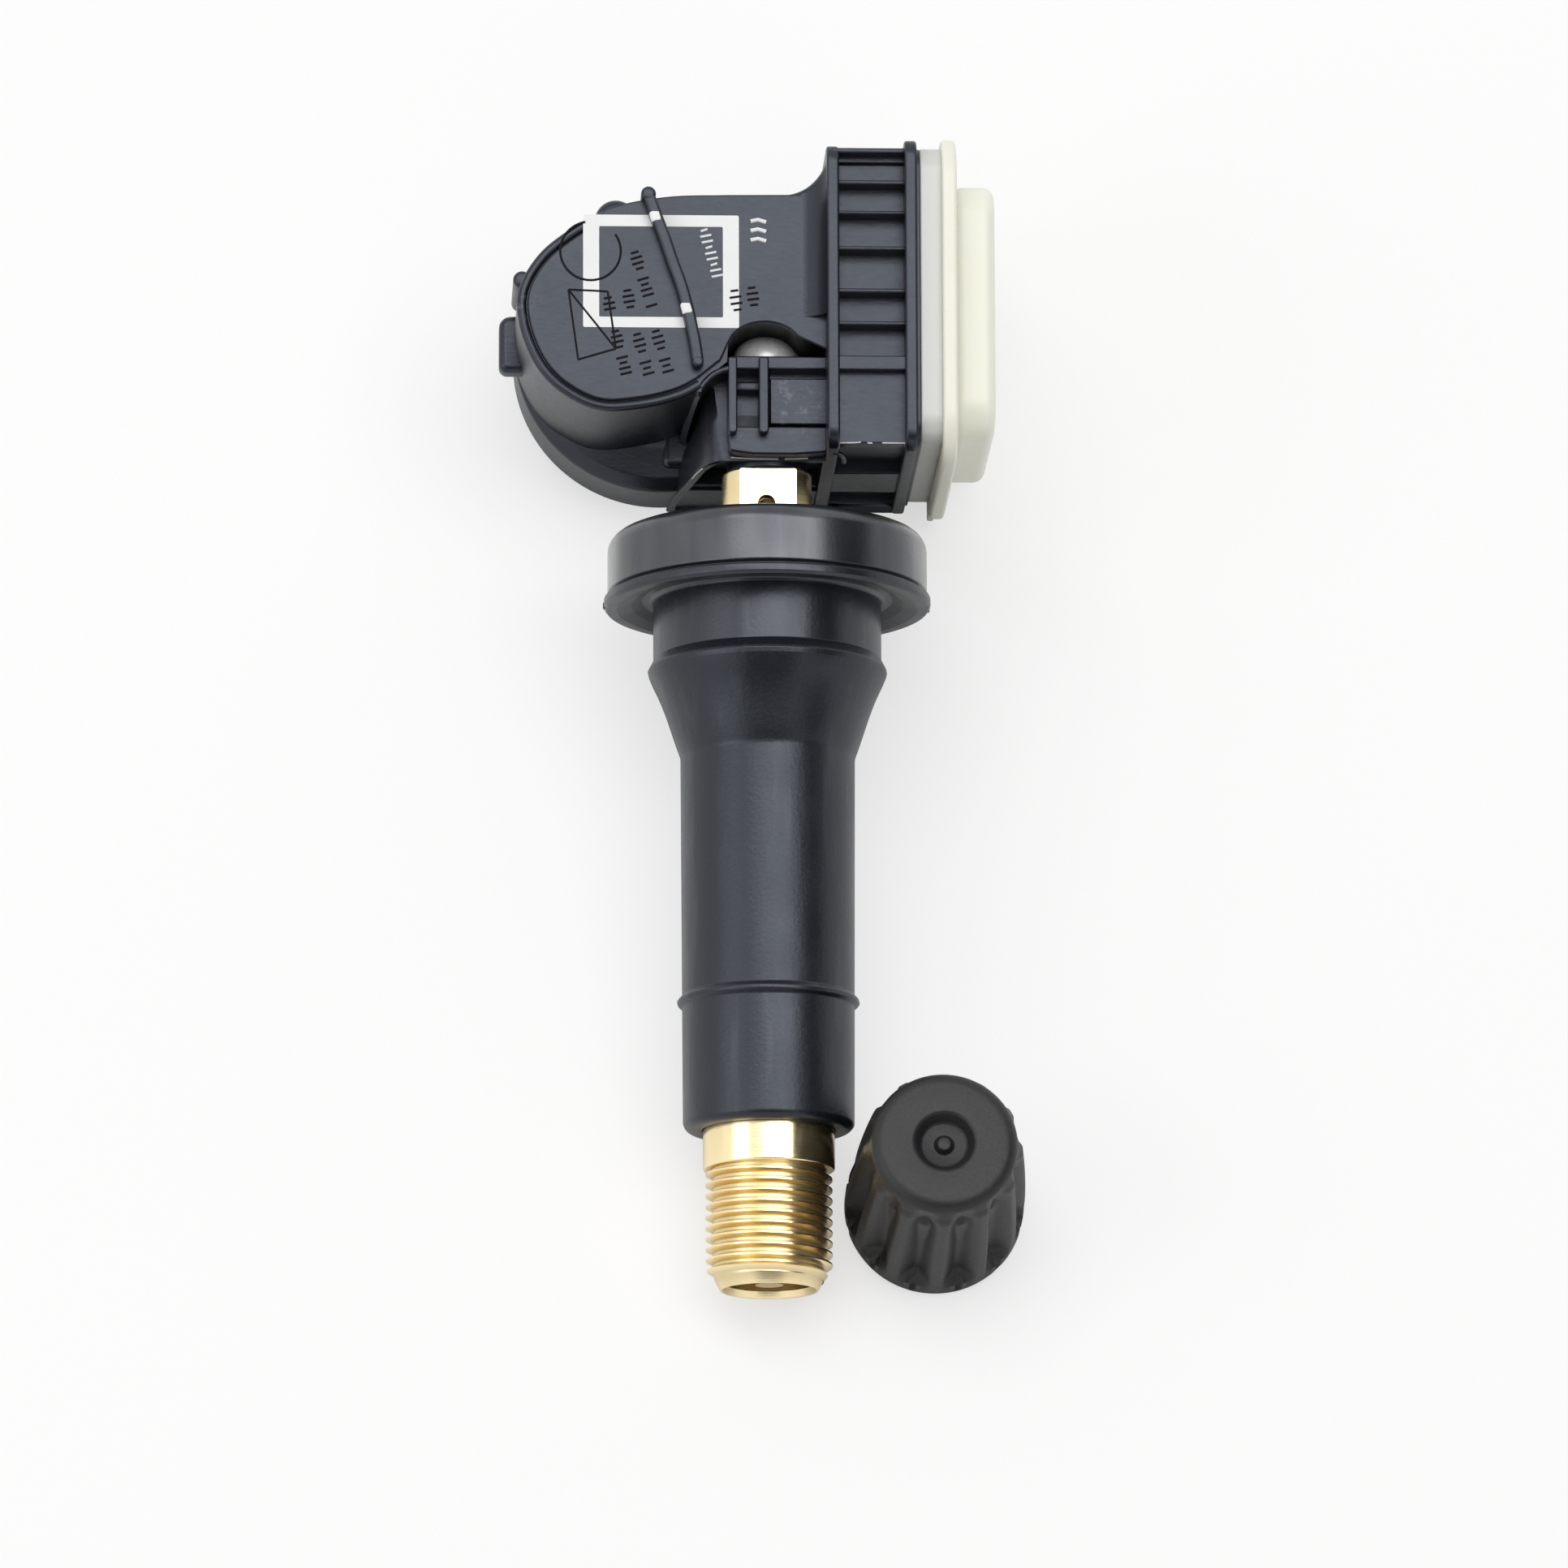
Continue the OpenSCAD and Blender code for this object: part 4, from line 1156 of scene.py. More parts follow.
@dataclass
class Housing:
    """The nylon housing: cell drum, marked face, tower and ribbed end frame."""

    bottom: float = -11.0
    drum_x: float = -6.3
    drum_y: float = 17.4
    drum_r: float = 9.1
    drum_top: float = -5.8
    shoulder: float = -4.7
    face: float = 5.0
    border: float = 0.3
    lobe_x: float = -9.1
    back: float = 24.45
    tower_x: float = -2.55
    slab_low: float = 2.75
    slab_high: float = 3.95
    well_y: float = 14.6
    well_mid: float = -0.3
    well_w: float = 2.3
    well_d: float = 1.75
    well_end: float = 16.5
    front: float = 8.2
    collar: float = 2.45
    frame_x: float = 3.45
    frame_out: float = 8.95
    sheet: float = 0.75
    step_out: float = 9.15
    frame_y: float = 8.0
    frame_end: float = 27.25
    frame_top: float = 7.0
    floor: float = 5.3
    rib_w: float = 0.74
    rib_h: float = 0.92
    flare_turn: float = 78.0
    flare_x: float = 0.6
    flare_w: float = 2.95
    flare_y: float = 2.72
    flare_z: float = 1.95
    rim: tuple[Point, ...] = (
        (-2.5, 24.42), (-6.0, 24.3), (-9.1, 23.75), (-11.16, 22.85), (-12.81, 21.75), (-14.0, 20.7),
        (-14.96, 19.3), (-15.42, 17.9), (-15.35, 16.4), (-14.95, 14.95), (-14.25, 13.5), (-13.3, 12.35),
        (-12.15, 11.5), (-10.95, 10.93), (-9.7, 10.72), (-8.0, 10.88), (-6.55, 11.17), (-5.2, 11.62),
        (-4.15, 12.2),
    )
    bent: tuple[Point, ...] = (
        (-7.42, 24.2), (-7.04, 23.07), (-6.47, 21.53), (-5.97, 19.99), (-5.48, 18.63), (-5.1, 17.26),
        (-4.86, 16.24), (-4.6, 14.9), (-4.42, 13.65),
    )
    front_edge: tuple[Point, ...] = (
        (2.7, -2.6), (1.65, -3.6), (0.0, -4.2), (-3.0, -4.7), (-5.1, -5.05), (-8.1, -5.6),
        (-9.4, -5.75), (-10.9, -5.85),
    )
    front_sides: tuple[tuple[float, ...], ...] = (
        (2.6, -3.0, 10.2, -3.3, 12.7), (1.4, -3.75, 10.2, -3.8, 12.3), (0.0, -4.2, 10.3, -3.95, 12.1),
        (-2.0, -4.55, 10.4, -4.1, 11.9), (-4.0, -4.86, 10.3, -4.4, 11.6), (-5.5, -5.3, 9.5, -5.0, 10.8),
        (-7.0, -5.5, 8.9, -5.2, 10.0), (-9.0, -5.7, 8.5, -5.3, 9.6), (-10.9, -5.8, 8.45, -5.3, 9.6),
    )
    fin: tuple[Point, ...] = ((-2.5, 13.5), (-2.95, 13.35), (-3.45, 13.1), (-3.92, 12.65), (-4.3, 12.1))
    fin_lean: tuple[Corner, ...] = (
        (4.62, 0.0, 0.0), (3.0, -0.2, -0.18), (1.0, -0.34, -0.28), (-1.0, -0.46, -0.4),
        (-3.0, -0.6, -0.62), (-5.2, -0.8, -1.25),
    )
    ribs: tuple[Point, ...] = (
        (26.64, 26.97), (24.65, 24.93), (22.76, 23.0), (20.5, 20.76), (17.82, 18.1), (15.77, 16.04),
        (12.97, 13.87),
    )

    @property
    def right(self) -> float:
        """Where what joins the end frame ends, just inside its sheet."""
        return self.frame_x + 0.1

    def build(self) -> None:
        """Builds every part of the housing into one piece and dresses it."""
        piece = Forge("sensor_housing")
        for add in (self.add_drum, self.add_face, self.add_bow, self.add_front, self.add_fin,
                    self.add_tower, self.add_frame, self.add_frame_front, self.add_flare):
            add(piece)
        piece.done(Look.NYLON, "housing", sharp=60)
        self.add_flash()

    def add_flash(self) -> None:
        """Leaves thin lines of moulding flash along the front's sharp edges, coloured pale as a painted edge
        highlight.
        """
        flash = Forge("moulding_flash_highlight")
        y, z = self.frame_y + 0.56, 5.93
        x0, x1 = self.frame_x + self.sheet, self.frame_out - 0.72
        runs = (
            ((x0, y - 0.1, 5.0), (x0, y, 5.9), (x0 + 0.9, y, 5.92), (x0 + 1.3, y + 0.03, 5.95)),
            ((x0 + 1.7, y, z), (x0 + 2.0, y - 0.02, 5.92)),
            ((x0 + 2.6, y, z), (x1 - 0.05, y, 5.92), (x1, y - 0.02, 5.3), (x1 + 0.04, y - 0.05, 3.9)),
            ((-2.3, 8.35, 2.8), (-1.0, 8.28, 2.76), (0.6, 8.28, 2.76)), ((1.0, 8.28, 2.77), (2.4, 8.32, 2.8)),
            ((4.5, 8.1, -10.1), (4.75, 8.05, -9.6), (4.95, 8.1, -10.3)),
            [(self.front_x(z) + 0.03, self.front - 0.02, z) for z in (0.5, -0.8, -2.0)],
        )
        for run in runs:
            flash.tube([Vector(p) for p in run], 0.045, 6)
        flash.done(Look.FLASH_HIGHLIGHT)

    def post(self, piece: Forge, x: float, y: float, r: float, low: float, high: float, edge: float,
             steps: int) -> None:
        """Stands a round post with a rounded top.

        Args:
            piece: The housing.
            x: Where it stands, across.
            y: Where it stands, along.
            r: Its radius.
            low: Where it starts.
            high: Where it ends.
            edge: Its edge round.
            steps: How many stretches a turn has.
        """
        piece.lathe(fillet([(0, low, 0), (r, low, 0), (r, high, edge), (0, high, 0)]), steps, along_z(x, y))

    def add_drum(self, piece: Forge) -> None:
        """Adds the drum round the coin cell, its shoulder, the tab and the two bumps.

        Args:
            piece: The housing.
        """
        low, r, top = self.bottom, self.drum_r, self.drum_top
        section = fillet([
            (0, low, 0), (r, low, 0.9), (r, top - 0.25, 0.5), (r - 0.75, top + 0.35, 0.5),
            (r - 2.6, self.shoulder - 0.1, 1.5), (r - 4.0, self.shoulder, 0), (0, self.shoulder, 0),
        ])
        piece.lathe(section, 144, along_z(self.drum_x, self.drum_y))
        y0, y1, right = self.drum_y - r + 0.1, self.drum_y + r - 0.1, self.right + 0.1
        piece.block((self.drum_x, y0, low + 0.1), (right, y1, top), 0.4, 3)
        piece.block((self.drum_x, y0 + 1.2, low + 1), (right, y1 - 1.2, self.shoulder), 0.5, 3)
        tab = [(-16.4, 15.0, 0.5), (-14.0, 15.0, 0), (-14.0, 18.6, 0), (-16.4, 18.6, 0.7)]
        piece.prism(fillet(tab, closed=True), -4.2, -2.5, 0.45, 4)
        self.post(piece, -15.05, 20.0, 0.55, -5, 1, 0.4, 28)
        self.post(piece, -9.35, 23.1, 1.3, -5, 3.9, 0.8, 40)

    def add_face(self, piece: Forge) -> None:
        """Adds the marked face inside its rounded border, with the crease between them.

        Args:
            piece: The housing.
        """
        rim = smooth_line(self.rim, 110)
        under = self.face - self.border
        well = [
            (x, self.well_y + self.well_d * max(0.0, 1 - ((x - self.well_mid) / self.well_w) ** 2) ** 0.5)
            for x in (self.tower_x + 0.25 * k for k in range(18))
        ]
        close = [(-3.6, 13.1), (-2.6, 13.9), *well, (self.right, self.well_y), (self.right, self.back)]
        piece.prism(rim + close, self.shoulder - 1, under, 0.0, 1)
        first = next(i for i, (x, _) in enumerate(rim) if x < self.lobe_x - 1.2)
        piece.tube(raised(grown(rim, -self.border), under)[first:], self.border, 14)
        inset = 2 * self.border + 0.05
        inner = grown(rim, -0.03)[:first] + grown(rim, -inset)[first + 2:]
        piece.prism(inner + [(-3.0, 13.95), *close[2:]], self.shoulder, self.face, 0.13, 3)
        piece.block((self.tower_x, 13.6, -6), (self.right, self.well_end + 0.3, -2.3), 0.0)

    def add_bow(self, piece: Forge) -> None:
        """Adds the bent rib across the face, with its rounded ends.

        Args:
            piece: The housing.
        """
        curve = smooth_line(self.bent, 48)
        piece.prism(band(curve, self.rib_w), self.face - 0.6, self.face + self.rib_h, 0.3, 4)
        for (x, y), r in ((self.bent[0], 0.46), (self.bent[-1], 0.36)):
            self.post(piece, x, y, r, 3.6, self.face + self.rib_h + 0.02, 0.3, 24)

    def front_x(self, z: float) -> float:
        """Finds where the front wall's left edge lies.

        Args:
            z: The height.

        Returns:
            The edge's place across.
        """
        for (high, one), (low, two) in zip(self.front_edge, self.front_edge[1:]):
            if z >= low:
                return two + (one - two) * min(1.0, (z - low) / (high - low))
        return self.front_edge[-1][1]

    def add_front(self, piece: Forge) -> None:
        """Adds the wall that sweeps down from the tower, hollow at its front round the stem.

        Args:
            piece: The housing.
        """
        body = Forge("front_body")
        rings = []
        for z, xb, yb, xn, yn in self.front_sides:
            edge = self.front_x(z)
            side = smooth_line([(edge, self.front + 0.12), (xb, yb), (xn, yn)], 8)
            outline = [(self.right, 14.0), (-4.1, 14.0), *side[::-1], (edge + 0.1, self.front),
                       (self.right, self.front)]
            rings.append(raised(outline, z))
        body.loft(rings)
        hollow = Forge("front_hollow")
        wall = [(x + 0.45, z) for z, x in self.front_edge[1:-1]]
        right, low, high = self.right - 0.2, -10.5, 2.2
        outline = [(right, high), (-2.5, high), *wall, (-5.3, low), (right, low)]
        hollow.prism(outline, self.front - 1, self.front + 1.4, 0.0, 1, along_y(0))
        body.carve(hollow)
        piece.join(body)
        y0, y1 = 7.87, 11.0
        piece.lathe(fillet([(0, y0, 0), (self.collar, y0, 0.15), (self.collar, y1, 0), (0, y1, 0)]), 64)

    def add_fin(self, piece: Forge) -> None:
        """Adds the thin wall edge that carries the border down to the drum.

        Args:
            piece: The housing.
        """
        rings = []
        for z, dx, dy in self.fin_lean:
            path = [(x + dx * k / 4, y + dy * k / 4) for k, (x, y) in enumerate(self.fin)]
            rings.append(raised(band(smooth_line(path, 10), 0.42), z))
        piece.loft(rings)
        piece.tube(raised(smooth_line(self.fin, 10), 4.6), 0.22, 10)
        self.post(piece, *self.fin[-1], 0.22, 3.9, 4.8, 0.15, 16)

    def add_tower(self, piece: Forge) -> None:
        """Adds the ribbed tower over the stem's end, with its well and its slab.

        Args:
            piece: The housing.
        """
        left, right = self.tower_x, self.right
        for low, high, edge, segments in (
            ((left, 13.5, -5.0), (right, 14.36, 4.45), 0.14, 3),
            ((left + 0.1, 9.2, -1.0), (right, 11.12, 2.6), 0.08, 2),
            ((left + 0.1, 11.0, -1.0), (right, 13.6, 1.0), 0.05, 2),
            ((0.04, 10.2, 0.5), (right, 13.1, 3.85), 0.1, 2),
            ((0.04, 13.05, 0.5), (right, 13.55, 3.3), 0.05, 2),
        ):
            piece.block(low, high, edge, segments)
        slab = fillet([(right, 8.45, 0), (1.6, 8.3, 2.0), (-1.0, 8.3, 2.0), (left + 0.1, 8.5, 0.35),
                       (left, 10.05, 0.2), (right, 10.05, 0)], closed=True)
        piece.prism(slab[::-1], self.slab_low, self.slab_high, 0.14, 3)
        piece.block((left + 0.3, 12.32, 0.5), (0.1, 12.92, 3.7), 0.12)
        for x0, x1 in ((left, -1.98), (-0.66, -0.05)):
            half = (x1 - x0) / 2
            nose = arc(x0 + half, 9.4 + half, half, 180, 360, 10)
            piece.prism([(x0, 14.2), *nose, (x1, 14.2)], 0.5, 4.85, 0.12, 3)

    def add_frame(self, piece: Forge) -> None:
        """Adds the end frame's flanges, core and ribs.

        Args:
            piece: The housing.
        """
        y0, y1, top, low = self.frame_y, self.frame_end, self.frame_top, self.bottom - 0.2
        out = self.frame_out
        sheets = (
            (self.frame_x, self.frame_x + self.sheet, y0 + 0.2, y1, low, top - 0.1, 0.16, 1.2),
            (out - self.sheet, out, y0, y1 + 0.3, low, top + 0.2, 0.16, 1.2),
            (out - 0.05, self.step_out, y0 + 0.4, y1 - 0.1, low + 0.3, top - 0.15, 0.06, 1.4),
        )
        for x0, x1, a, b, z0, z1, edge, r in sheets:
            piece.prism(round_box((a, z0), (b, z1), r), 0, x1 - x0, edge, 3, along_x(x0))
        x0, x1 = self.frame_x + 0.3, out - 0.3
        core = round_box((y0 + 1.15, low + 0.3), (y1 - 0.7, self.floor), 0.4)
        piece.prism(core, 0, x1 - x0, 0.08, 1, along_x(x0))
        for a, b in self.ribs:
            piece.block((x0, a, self.floor - 0.6), (x1, b, top - 0.35), 0.1, 3)
        piece.block((x0, y1 - 1.0, -9.0), (x1, y1 - 0.35, 5.6), 0.12)
        for z in (-8.6, -5.2, -1.8, 1.6):
            piece.block((x0, y1 - 1.0, z), (x1, y1 - 0.02, z + 0.5), 0.12)

    def add_frame_front(self, piece: Forge) -> None:
        """Adds the last pocket's floor, the recessed panel below it and its two ledges.

        Args:
            piece: The housing.
        """
        x0, x1, y0, low = self.frame_x + 0.3, self.frame_out - 0.3, self.frame_y, self.bottom - 0.1
        piece.block((x0, y0 + 0.58, 4.7), (x1, 13.1, 5.9), 0.07)
        piece.block((x0, y0 + 0.4, -6.2), (x1, y0 + 1.3, -1.4), 0.1, 3)
        sill = fillet([(y0 + 1.3, low, 0), (y0 + 1.3, -9.9, 0), (y0 + 0.5, -10.0, 0.3),
                       (y0 + 0.15, -10.6, 0.3), (y0 + 0.3, low, 0.2)], closed=True)
        piece.prism(sill, 0, x1 - x0, 0.05, 1, along_x(x0))
        piece.block((4.5, y0 + 0.05, -10.6), (4.95, y0 + 0.5, -9.6), 0.12)
        turns = (math.pi / 2 * k / 8 for k in range(9))
        piece.tube([Vector((3.9 + 0.75 * math.sin(a), 8.3, 2.1 + 2.4 * math.cos(a))) for a in turns], 0.16, 8)

    def add_flare(self, piece: Forge) -> None:
        """Adds the hollow curve that leads from the neck to the end frame.

        Args:
            piece: The housing.
        """
        rings = []
        whole = math.radians(self.flare_turn)
        for k in range(15):
            turn = whole * k / 14
            x = self.flare_x + self.flare_w * math.sin(turn) / math.sin(whole)
            side = self.back - 0.02 + self.flare_y * (1 - math.cos(turn))
            lift = max(0.0, min(1.0, (x - 1.75) / 1.85))
            z = self.face - 0.03 + self.flare_z * (1 - (1 - lift**2) ** 0.5)
            near = self.well_end + 0.2
            outline = fillet([(near, z, 0), (near, self.shoulder, 0), (side, self.shoulder, 0),
                              (side, z, 0.35)], closed=True, steps=5)
            rings.append([Vector((x, y, up)) for y, up in outline])
        piece.loft(rings)
        left, right, back = self.frame_x - 2.2, self.frame_x + 0.2, self.drum_y + self.drum_r
        low = [(left, back - 0.3), *arc(left + 0.6, back + 1.0, 1.3, 250, 345, 8), (right, back),
               (right, 20), (left, 20)]
        piece.prism(low[::-1], self.bottom + 0.4, self.drum_top, 0.0, 1)


@dataclass
class EndCover:
    """The milky cover welded to the end frame."""

    x: float = 9.15
    plate: float = 1.3
    band: float = 0.9
    rise: float = 2.5
    plate_y: Point = (8.6, 27.2)
    plate_z: Point = (-10.9, 6.95)
    band_y: Point = (7.35, 27.9)
    band_z: Point = (-11.46, 7.65)
    top_y: Point = (9.4, 25.4)
    top_z: Point = (-9.51, 5.2)
    port: Corner = (12.6, 17.4, -2.0)
    port_r: float = 0.6

    def build(self) -> None:
        """Builds the plate, the proud band and the plateau with its air port."""
        x1 = self.x + self.plate
        base = Forge("end_cap_plate")
        self.add_slab(base, self.plate_y, self.plate_z, 1.6, self.x, self.plate + 0.1, 0.12, 3)
        base.block((x1 - 0.1, 7.4, -9.6), (x1 + 0.3, 8.8, -8.2), 0.1)
        base.done(Look.PLATE, "end_cover", sharp=50)
        piece = Forge("end_cap")
        self.add_slab(piece, self.band_y, self.band_z, 3.0, x1 + 0.02, self.band, 0.22, 4)
        self.add_slab(piece, self.top_y, self.top_z, 2.2, x1 + self.band - 0.1, self.rise + 0.08, 0.7, 6)
        x, y, z = self.port
        drill = Forge("port")
        drill.lathe([(0, x), (self.port_r, x), (self.port_r, x + 1.6), (0, x + 1.6)], 32,
                    Matrix.Translation((0, y, z)) @ Matrix.Rotation(-math.pi / 2, 4, "Z"))
        piece.carve(drill)
        piece.done(Look.COVER, sharp=50)

    def add_slab(self, piece: Forge, ys: Point, zs: Point, r: float, x: float, thick: float, edge: float,
                 segments: int) -> None:
        """Adds a slab with round corners that faces +X.

        Args:
            piece: The piece that it joins.
            ys: Its ends along the stem.
            zs: Its ends in height.
            r: Its corners' radius.
            x: Where it starts.
            thick: Its thickness.
            edge: The width of its edge round.
            segments: How many stretches that round has.
        """
        outline = round_box((ys[0], zs[0]), (ys[1], zs[1]), r)
        piece.prism(outline, 0, thick, edge, segments, along_x(x))


@dataclass
class RetainingScrew:
    """The domed screw behind the tower, with a star recess in its dome."""

    radius: float = 2.1
    shank: float = 1.2
    start: float = 6.7
    seat: float = 14.42
    brim: float = 0.7
    height: float = 2.3
    star_out: float = 1.15
    star_in: float = 0.72

    def build(self) -> None:
        """Turns the screw and cuts its star recess."""
        piece = Forge("screw")
        dome = domed(self.radius, self.seat + self.brim, self.height - self.brim, 12)
        piece.lathe([(0, self.start), (self.shank - 0.1, self.start), (self.shank, self.start + 0.1),
                     (self.shank, self.seat), (self.radius - 0.08, self.seat),
                     (self.radius, self.seat + 0.08), *dome], 64)
        star = Forge("star")
        tips = [(math.pi * k / 6, self.star_out if k % 2 else self.star_in) for k in range(12)]
        star.prism([(r * math.cos(a), r * math.sin(a)) for a, r in tips], 0, 2, 0, 1,
                   along_y(self.seat + 1.0))
        piece.carve(star)
        # The near-white head is a painted highlight on steel.
        piece.done(Look.SCREW_HIGHLIGHT, "retaining_screw", sharp=40)


@dataclass
class Marking:
    """The printed square, the print on the bent rib and the plain raised strokes."""

    face: float = 5.0
    lift: float = 0.02
    line: float = 0.66
    low: Point = (-11.4, 15.95)
    high: Point = (-1.87, 23.05)
    side: float = 0.98
    patches: tuple[Corner, ...] = ((-6.98, 22.75, 0.8), (-5.08, 16.95, 0.85))
    patch_w: float = 0.72
    dash: float = 0.075
    bar: float = 0.13
    stroke: float = 0.08
    pace: float = 0.34
    ring: Corner = (-10.95, 20.75, 1.85)
    barred: tuple[Point, ...] = ((-12.3, 18.3), (-9.9, 18.2), (-9.4, 14.6), (-11.7, 13.9))
    rows: tuple[tuple[float, float, float, float], ...] = (
        (-8.25, 20.68, -7.11, 17.0), (-6.96, 15.72, -6.1, 12.85), (-8.7, 18.27, -8.45, 16.89),
        (-8.1, 15.51, -7.3, 12.7), (-9.89, 17.8, -9.69, 16.77), (-9.44, 15.7, -8.6, 12.4),
        (-2.15, 18.3, -1.9, 16.7), (-1.1, 18.5, -0.85, 16.7),
    )

    def build(self) -> None:
        """Adds the print and the raised strokes."""
        self.add_print()
        self.add_strokes()

    def add_print(self) -> None:
        """Prints the square, two patches on the bent rib, nine dashes and three short bars."""
        ink = Forge("white_print")
        (x0, y0), (x1, y1), t, s = self.low, self.high, self.line, self.side
        outer = round_box((x0, y0), (x1, y1), 0.12)
        inner = round_box((x0 + s, y0 + t), (x1 - s, y1 - t * 1.1), 0.08)
        ink.ring(outer, inner, self.face - 0.1, self.face + self.lift)
        w = self.patch_w / 2
        for x, y, long in self.patches:
            h = long / 2
            patch = [(x - w - 0.1, y + h, 0.2), (x - w + 0.12, y - h, 0.2),
                     (x + w + 0.1, y - h + 0.1, 0.2), (x + w - 0.12, y + h, 0.2)]
            ink.prism(fillet(patch, closed=True), self.face + 0.4, self.face + 0.95, 0.28, 4)
        for k in range(9):
            x, y = -4.0 + 0.1 * k, 22.1 - 0.36 * k
            reach = 0.34 if k % 3 else 0.2
            ink.tube(raised([(x - reach, y - 0.06), (x + reach, y + 0.08)], self.face), self.dash, 6)
        for y in (22.7 - 0.6 * k for k in range(3)):
            ink.tube(raised([(-1.15, y), (-0.7, y + 0.1), (-0.2, y - 0.05)], self.face), self.bar, 8)
        ink.done(Look.INK)

    def add_strokes(self) -> None:
        """Raises rows of short strokes with gaps, a ring and a barred frame."""
        relief = Forge("raised_strokes")
        for x0, y0, x1, y1 in self.rows:
            way = Vector((x1 - x0, y1 - y0))
            side = Vector((-way.y, way.x)).normalized()
            count = int(way.length / self.pace)
            for k in (k for k in range(count) if k % 5 != 4):
                here = Vector((x0, y0)) + way * (k / count)
                reach = side * (0.36 if k % 3 else 0.24)
                relief.tube(raised([here - reach, here + reach], self.face), self.stroke, 6)
        x, y, r = self.ring
        relief.tube(raised(arc(x, y, r, 100, 395, 48), self.face), self.stroke, 6)
        first, *others = self.barred
        frame_line = [first, *others, first]
        for line in [*zip(frame_line, frame_line[1:]), (first, others[1])]:
            relief.tube(raised(line, self.face), self.stroke - 0.01, 6)
        relief.done(Look.STROKE)


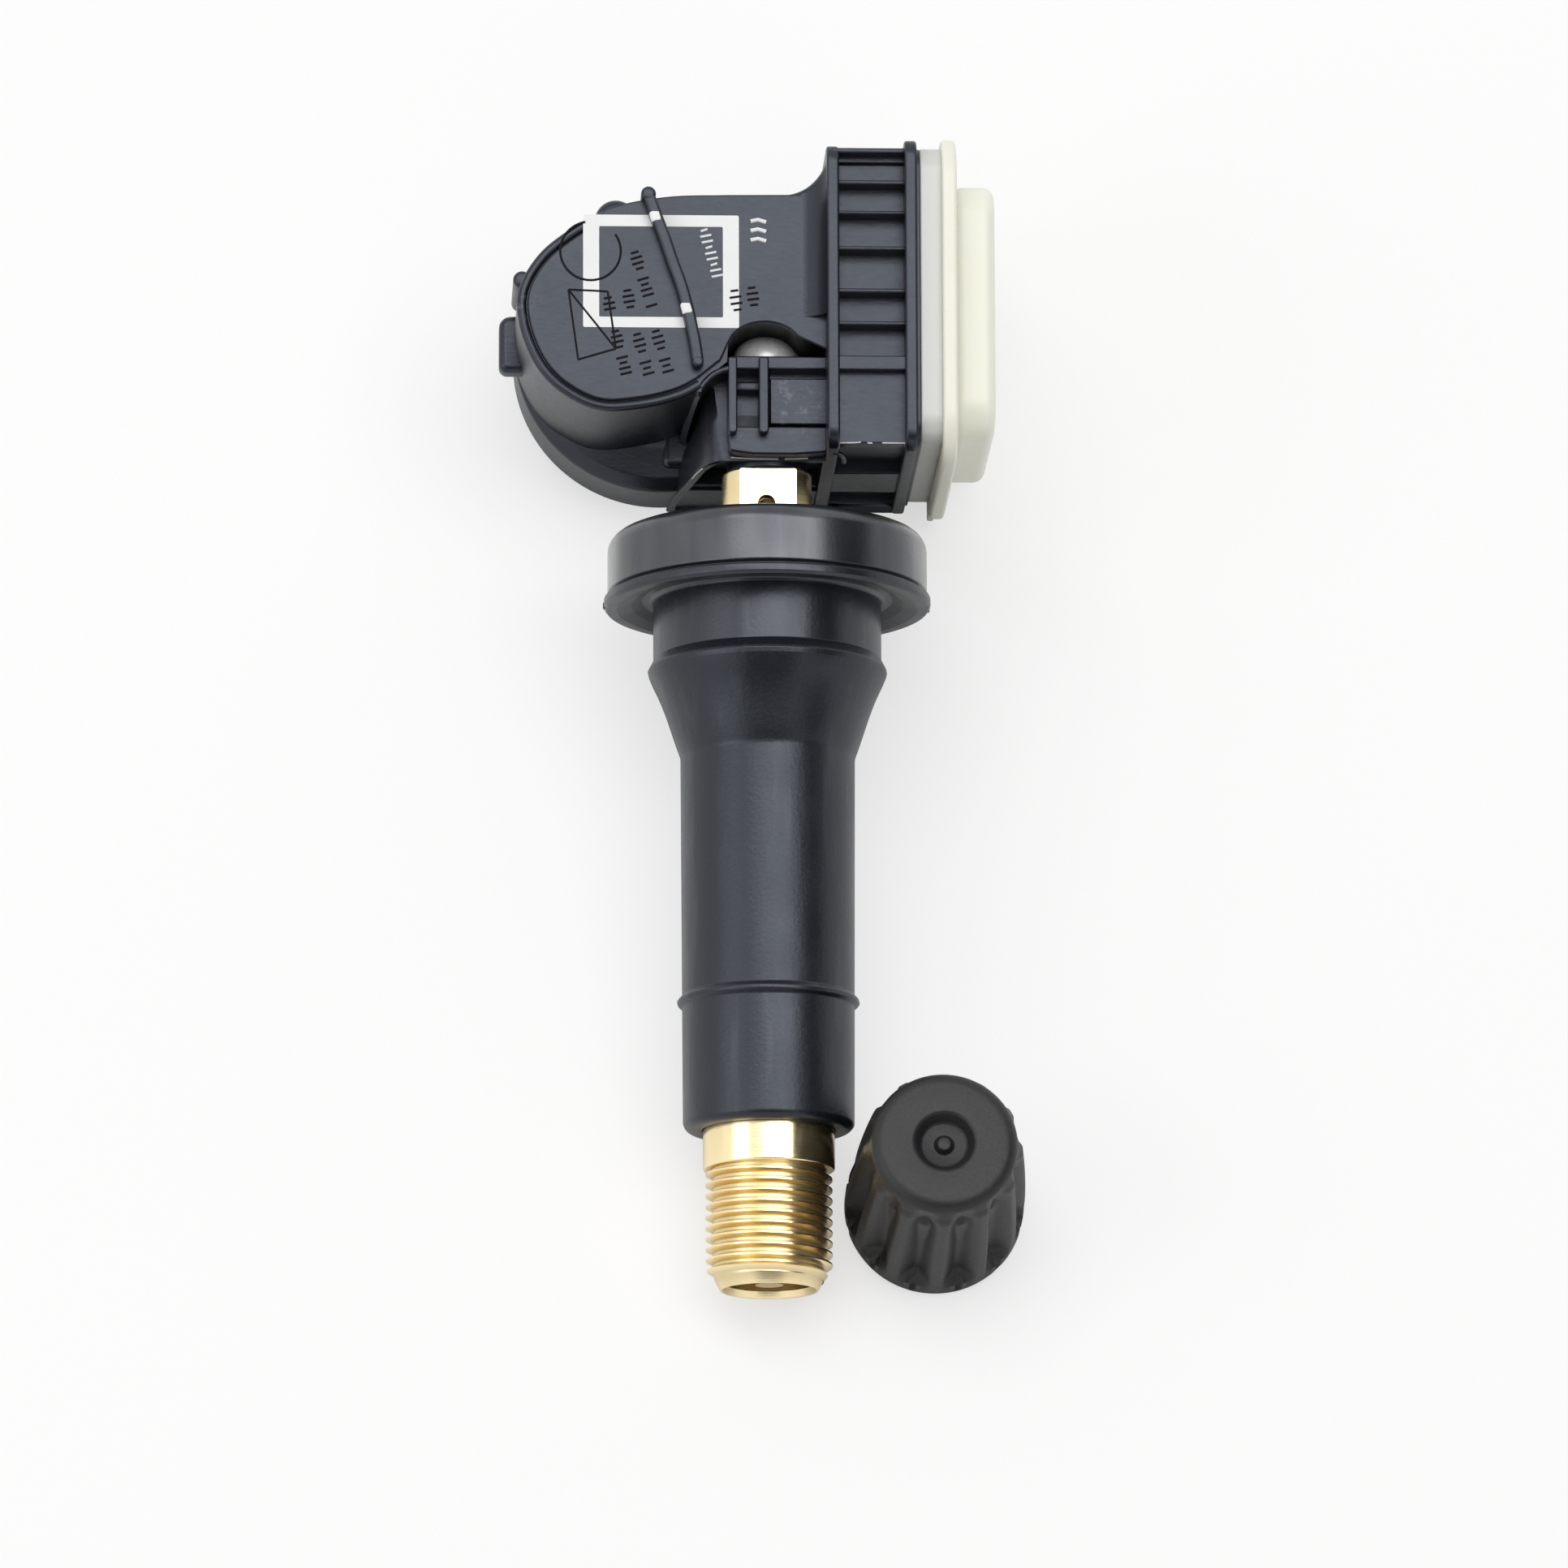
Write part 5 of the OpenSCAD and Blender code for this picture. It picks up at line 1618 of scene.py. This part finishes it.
@dataclass
class Studio:
    """The pale floor, the soft light, the dark cards and the camera.

    The camera's view was fitted to the photograph, in millimetres and degrees, with its focal
    length and the photograph's width in pixels.
    """

    target: Corner = (0.919, -11.95, 0.0)
    azimuth: float = -6.766
    elevation: float = 69.283
    roll: float = 6.651
    distance: float = 696.27
    focal: float = 14096.5
    width: float = 1932.0
    sensor: float = 36.0
    floor: float = 1.5
    plain: float = 0.62
    fill: float = 0.55
    aim: Corner = (0.0, -0.01, 0.0)

    def build(self) -> None:
        """Builds the floor, the world, the lights, the cards and the camera."""
        self.add_floor()
        self.add_world()
        self.add_light("overhead", (0.05, 0.1, 0.7), (0.95, 0.34), 3.0)
        self.add_light("left_fill", (-0.5, -0.1, 0.4), (0.35, 0.35), 0.6)
        self.add_card("front_card", (0.0, -0.74, 0.74), (0.5, 0.27))
        self.add_card("right_card", (0.78, -0.05, 0.52), (0.5, 0.3))
        self.add_camera()

    def sheet(self, name: str, half: Point, look: bpy.types.Material) -> bpy.types.Object:
        """Makes a flat sheet.

        Args:
            name: Its name.
            half: Its half width and half height in metres.
            look: Its material.

        Returns:
            The object, lying flat at the middle of the scene.
        """
        mesh = bpy.data.meshes.new(name)
        w, h = half
        mesh.from_pydata([(-w, -h, 0), (w, -h, 0), (w, h, 0), (-w, h, 0)], [], [(0, 1, 2, 3)])
        mesh.materials.append(look)
        made = bpy.data.objects.new(name, mesh)
        bpy.context.scene.collection.objects.link(made)
        return made

    def add_floor(self) -> None:
        """Lays a plain pale floor under the part."""
        graph = Graph(bpy.data.materials.new("pale_floor"))
        cloud = graph.noise(graph.place(), 60.0, 2)
        base = graph.blend(cloud, (0.955, 0.955, 0.95, 1), (0.975, 0.975, 0.97, 1))
        floor = self.sheet("floor", (self.floor, self.floor), graph.white_floor(base, self.plain))
        floor.location.z = GROUND

    def add_world(self) -> None:
        """Shows white to the camera and to reflections, and lights softly from all round."""
        world = bpy.data.worlds.new("white_room")
        bpy.context.scene.world = world
        graph = Graph(world)
        path = graph.node("ShaderNodeLightPath")
        seen = Field(graph, path.outputs["Is Camera Ray"])
        for name in ("Is Glossy Ray", "Is Transmission Ray"):
            seen = seen.most(Field(graph, path.outputs[name]))
        soft, plain = (
            graph.node("ShaderNodeBackground", None, {"Color": WHITE, "Strength": strength})
            for strength in (self.fill, 1.0)
        )
        graph.mixed(seen, soft, plain, "ShaderNodeOutputWorld")

    def add_light(self, name: str, place: Corner, size: Point, power: float) -> None:
        """Hangs a soft light that faces the part.

        Args:
            name: The light's name.
            place: Where it hangs, in metres.
            size: Its width and height in metres.
            power: Its power in watts.
        """
        light = bpy.data.lights.new(name, "AREA")
        light.shape = "RECTANGLE"
        light.size, light.size_y = size
        light.energy = power
        lamp = bpy.data.objects.new(name, light)
        lamp.location = place
        lamp.rotation_euler = (Vector(self.aim) - Vector(place)).to_track_quat("-Z", "Y").to_euler()
        bpy.context.scene.collection.objects.link(lamp)

    def add_card(self, name: str, place: Corner, half: Point) -> None:
        """Stands a dark card well outside the view, for rubber and metal to mirror.

        Args:
            name: The card's name.
            place: Its middle, in metres.
            half: Its half width and half height in metres.
        """
        graph = Graph(bpy.data.materials.new(name + "_black"))
        base = graph.blend(graph.noise(graph.place(), 8.0, 2), srgb("0c0c0d"), srgb("101011"))
        card = self.sheet(name, half, graph.surface(Base_Color=base, Roughness=0.9))
        card.location = place
        card.rotation_euler = Vector(place).to_track_quat("Z", "Y").to_euler()
        card.visible_camera = False

    def add_camera(self) -> None:
        """Places the camera from the view fitted to the photograph."""
        az, el, ro = (math.radians(a) for a in (self.azimuth, self.elevation, self.roll))
        back = Vector((math.sin(az) * math.cos(el), -math.cos(az) * math.cos(el), math.sin(el)))
        right = Vector((0, 0, 1)).cross(back).normalized()
        up = back.cross(right)
        across = right * math.cos(ro) + up * math.sin(ro)
        above = up * math.cos(ro) - right * math.sin(ro)
        turn = Matrix((across, above, back)).transposed().to_4x4()
        data = bpy.data.cameras.new("camera")
        data.sensor_width = self.sensor
        data.lens = self.focal / self.width * self.sensor
        data.clip_start = 0.01
        data.clip_end = 10.0
        camera = bpy.data.objects.new("camera", data)
        camera.matrix_world = Matrix.Translation((Vector(self.target) + back * self.distance) * MM) @ turn
        bpy.context.scene.collection.objects.link(camera)
        bpy.context.scene.camera = camera


CARRIED = {
    "core_plug": Look.PLATED, "core_barrel": Look.CORE_BRASS, "core_seal": Look.SEAL_RED,
    "core_pin": Look.CORE_BRASS, "core_cup": Look.CORE_BRASS, "cup_seal": Look.SEAL_DARK,
    "core_spring": Look.WIRE, "circuit_board": Look.BOARD, "coin_cell": Look.CELL,
    "battery_tab_plus": Look.STRIP, "battery_tab_minus": Look.STRIP, "pressure_chip": Look.EPOXY,
    "port_seal": Look.SILICONE, "pickup_coil": Look.WINDING, "crystal": Look.PLATED,
    "antenna_strip": Look.CORE_BRASS, "board_capacitors": Look.CERAMIC, "cap_washer": Look.SEAL_DARK,
}


def dress_carried() -> None:
    """Gives the CAD nodes that stay in view their finishes."""
    for name, look in CARRIED.items():
        node = frame["nodes"][name]
        for held in node.material_slots:
            held.material = look.material
        if not node.material_slots:
            node.data.materials.append(look.material)
        LOG.info("%s carried over as %s", name, look.value.name)


def main() -> None:
    """Builds the studio and every sub-assembly, and logs each."""
    logging.basicConfig(level=logging.INFO, format="%(message)s")
    scene = bpy.context.scene
    scene.view_settings.view_transform = "Standard"
    for part in (Studio(), StemRubber(), BrassStem(), ValveCap(), Housing(), EndCover(), RetainingScrew(),
                 Marking()):
        part.build()
        LOG.info("built %s", type(part).__name__)
    dress_carried()


if __name__ == "__main__":
    main()
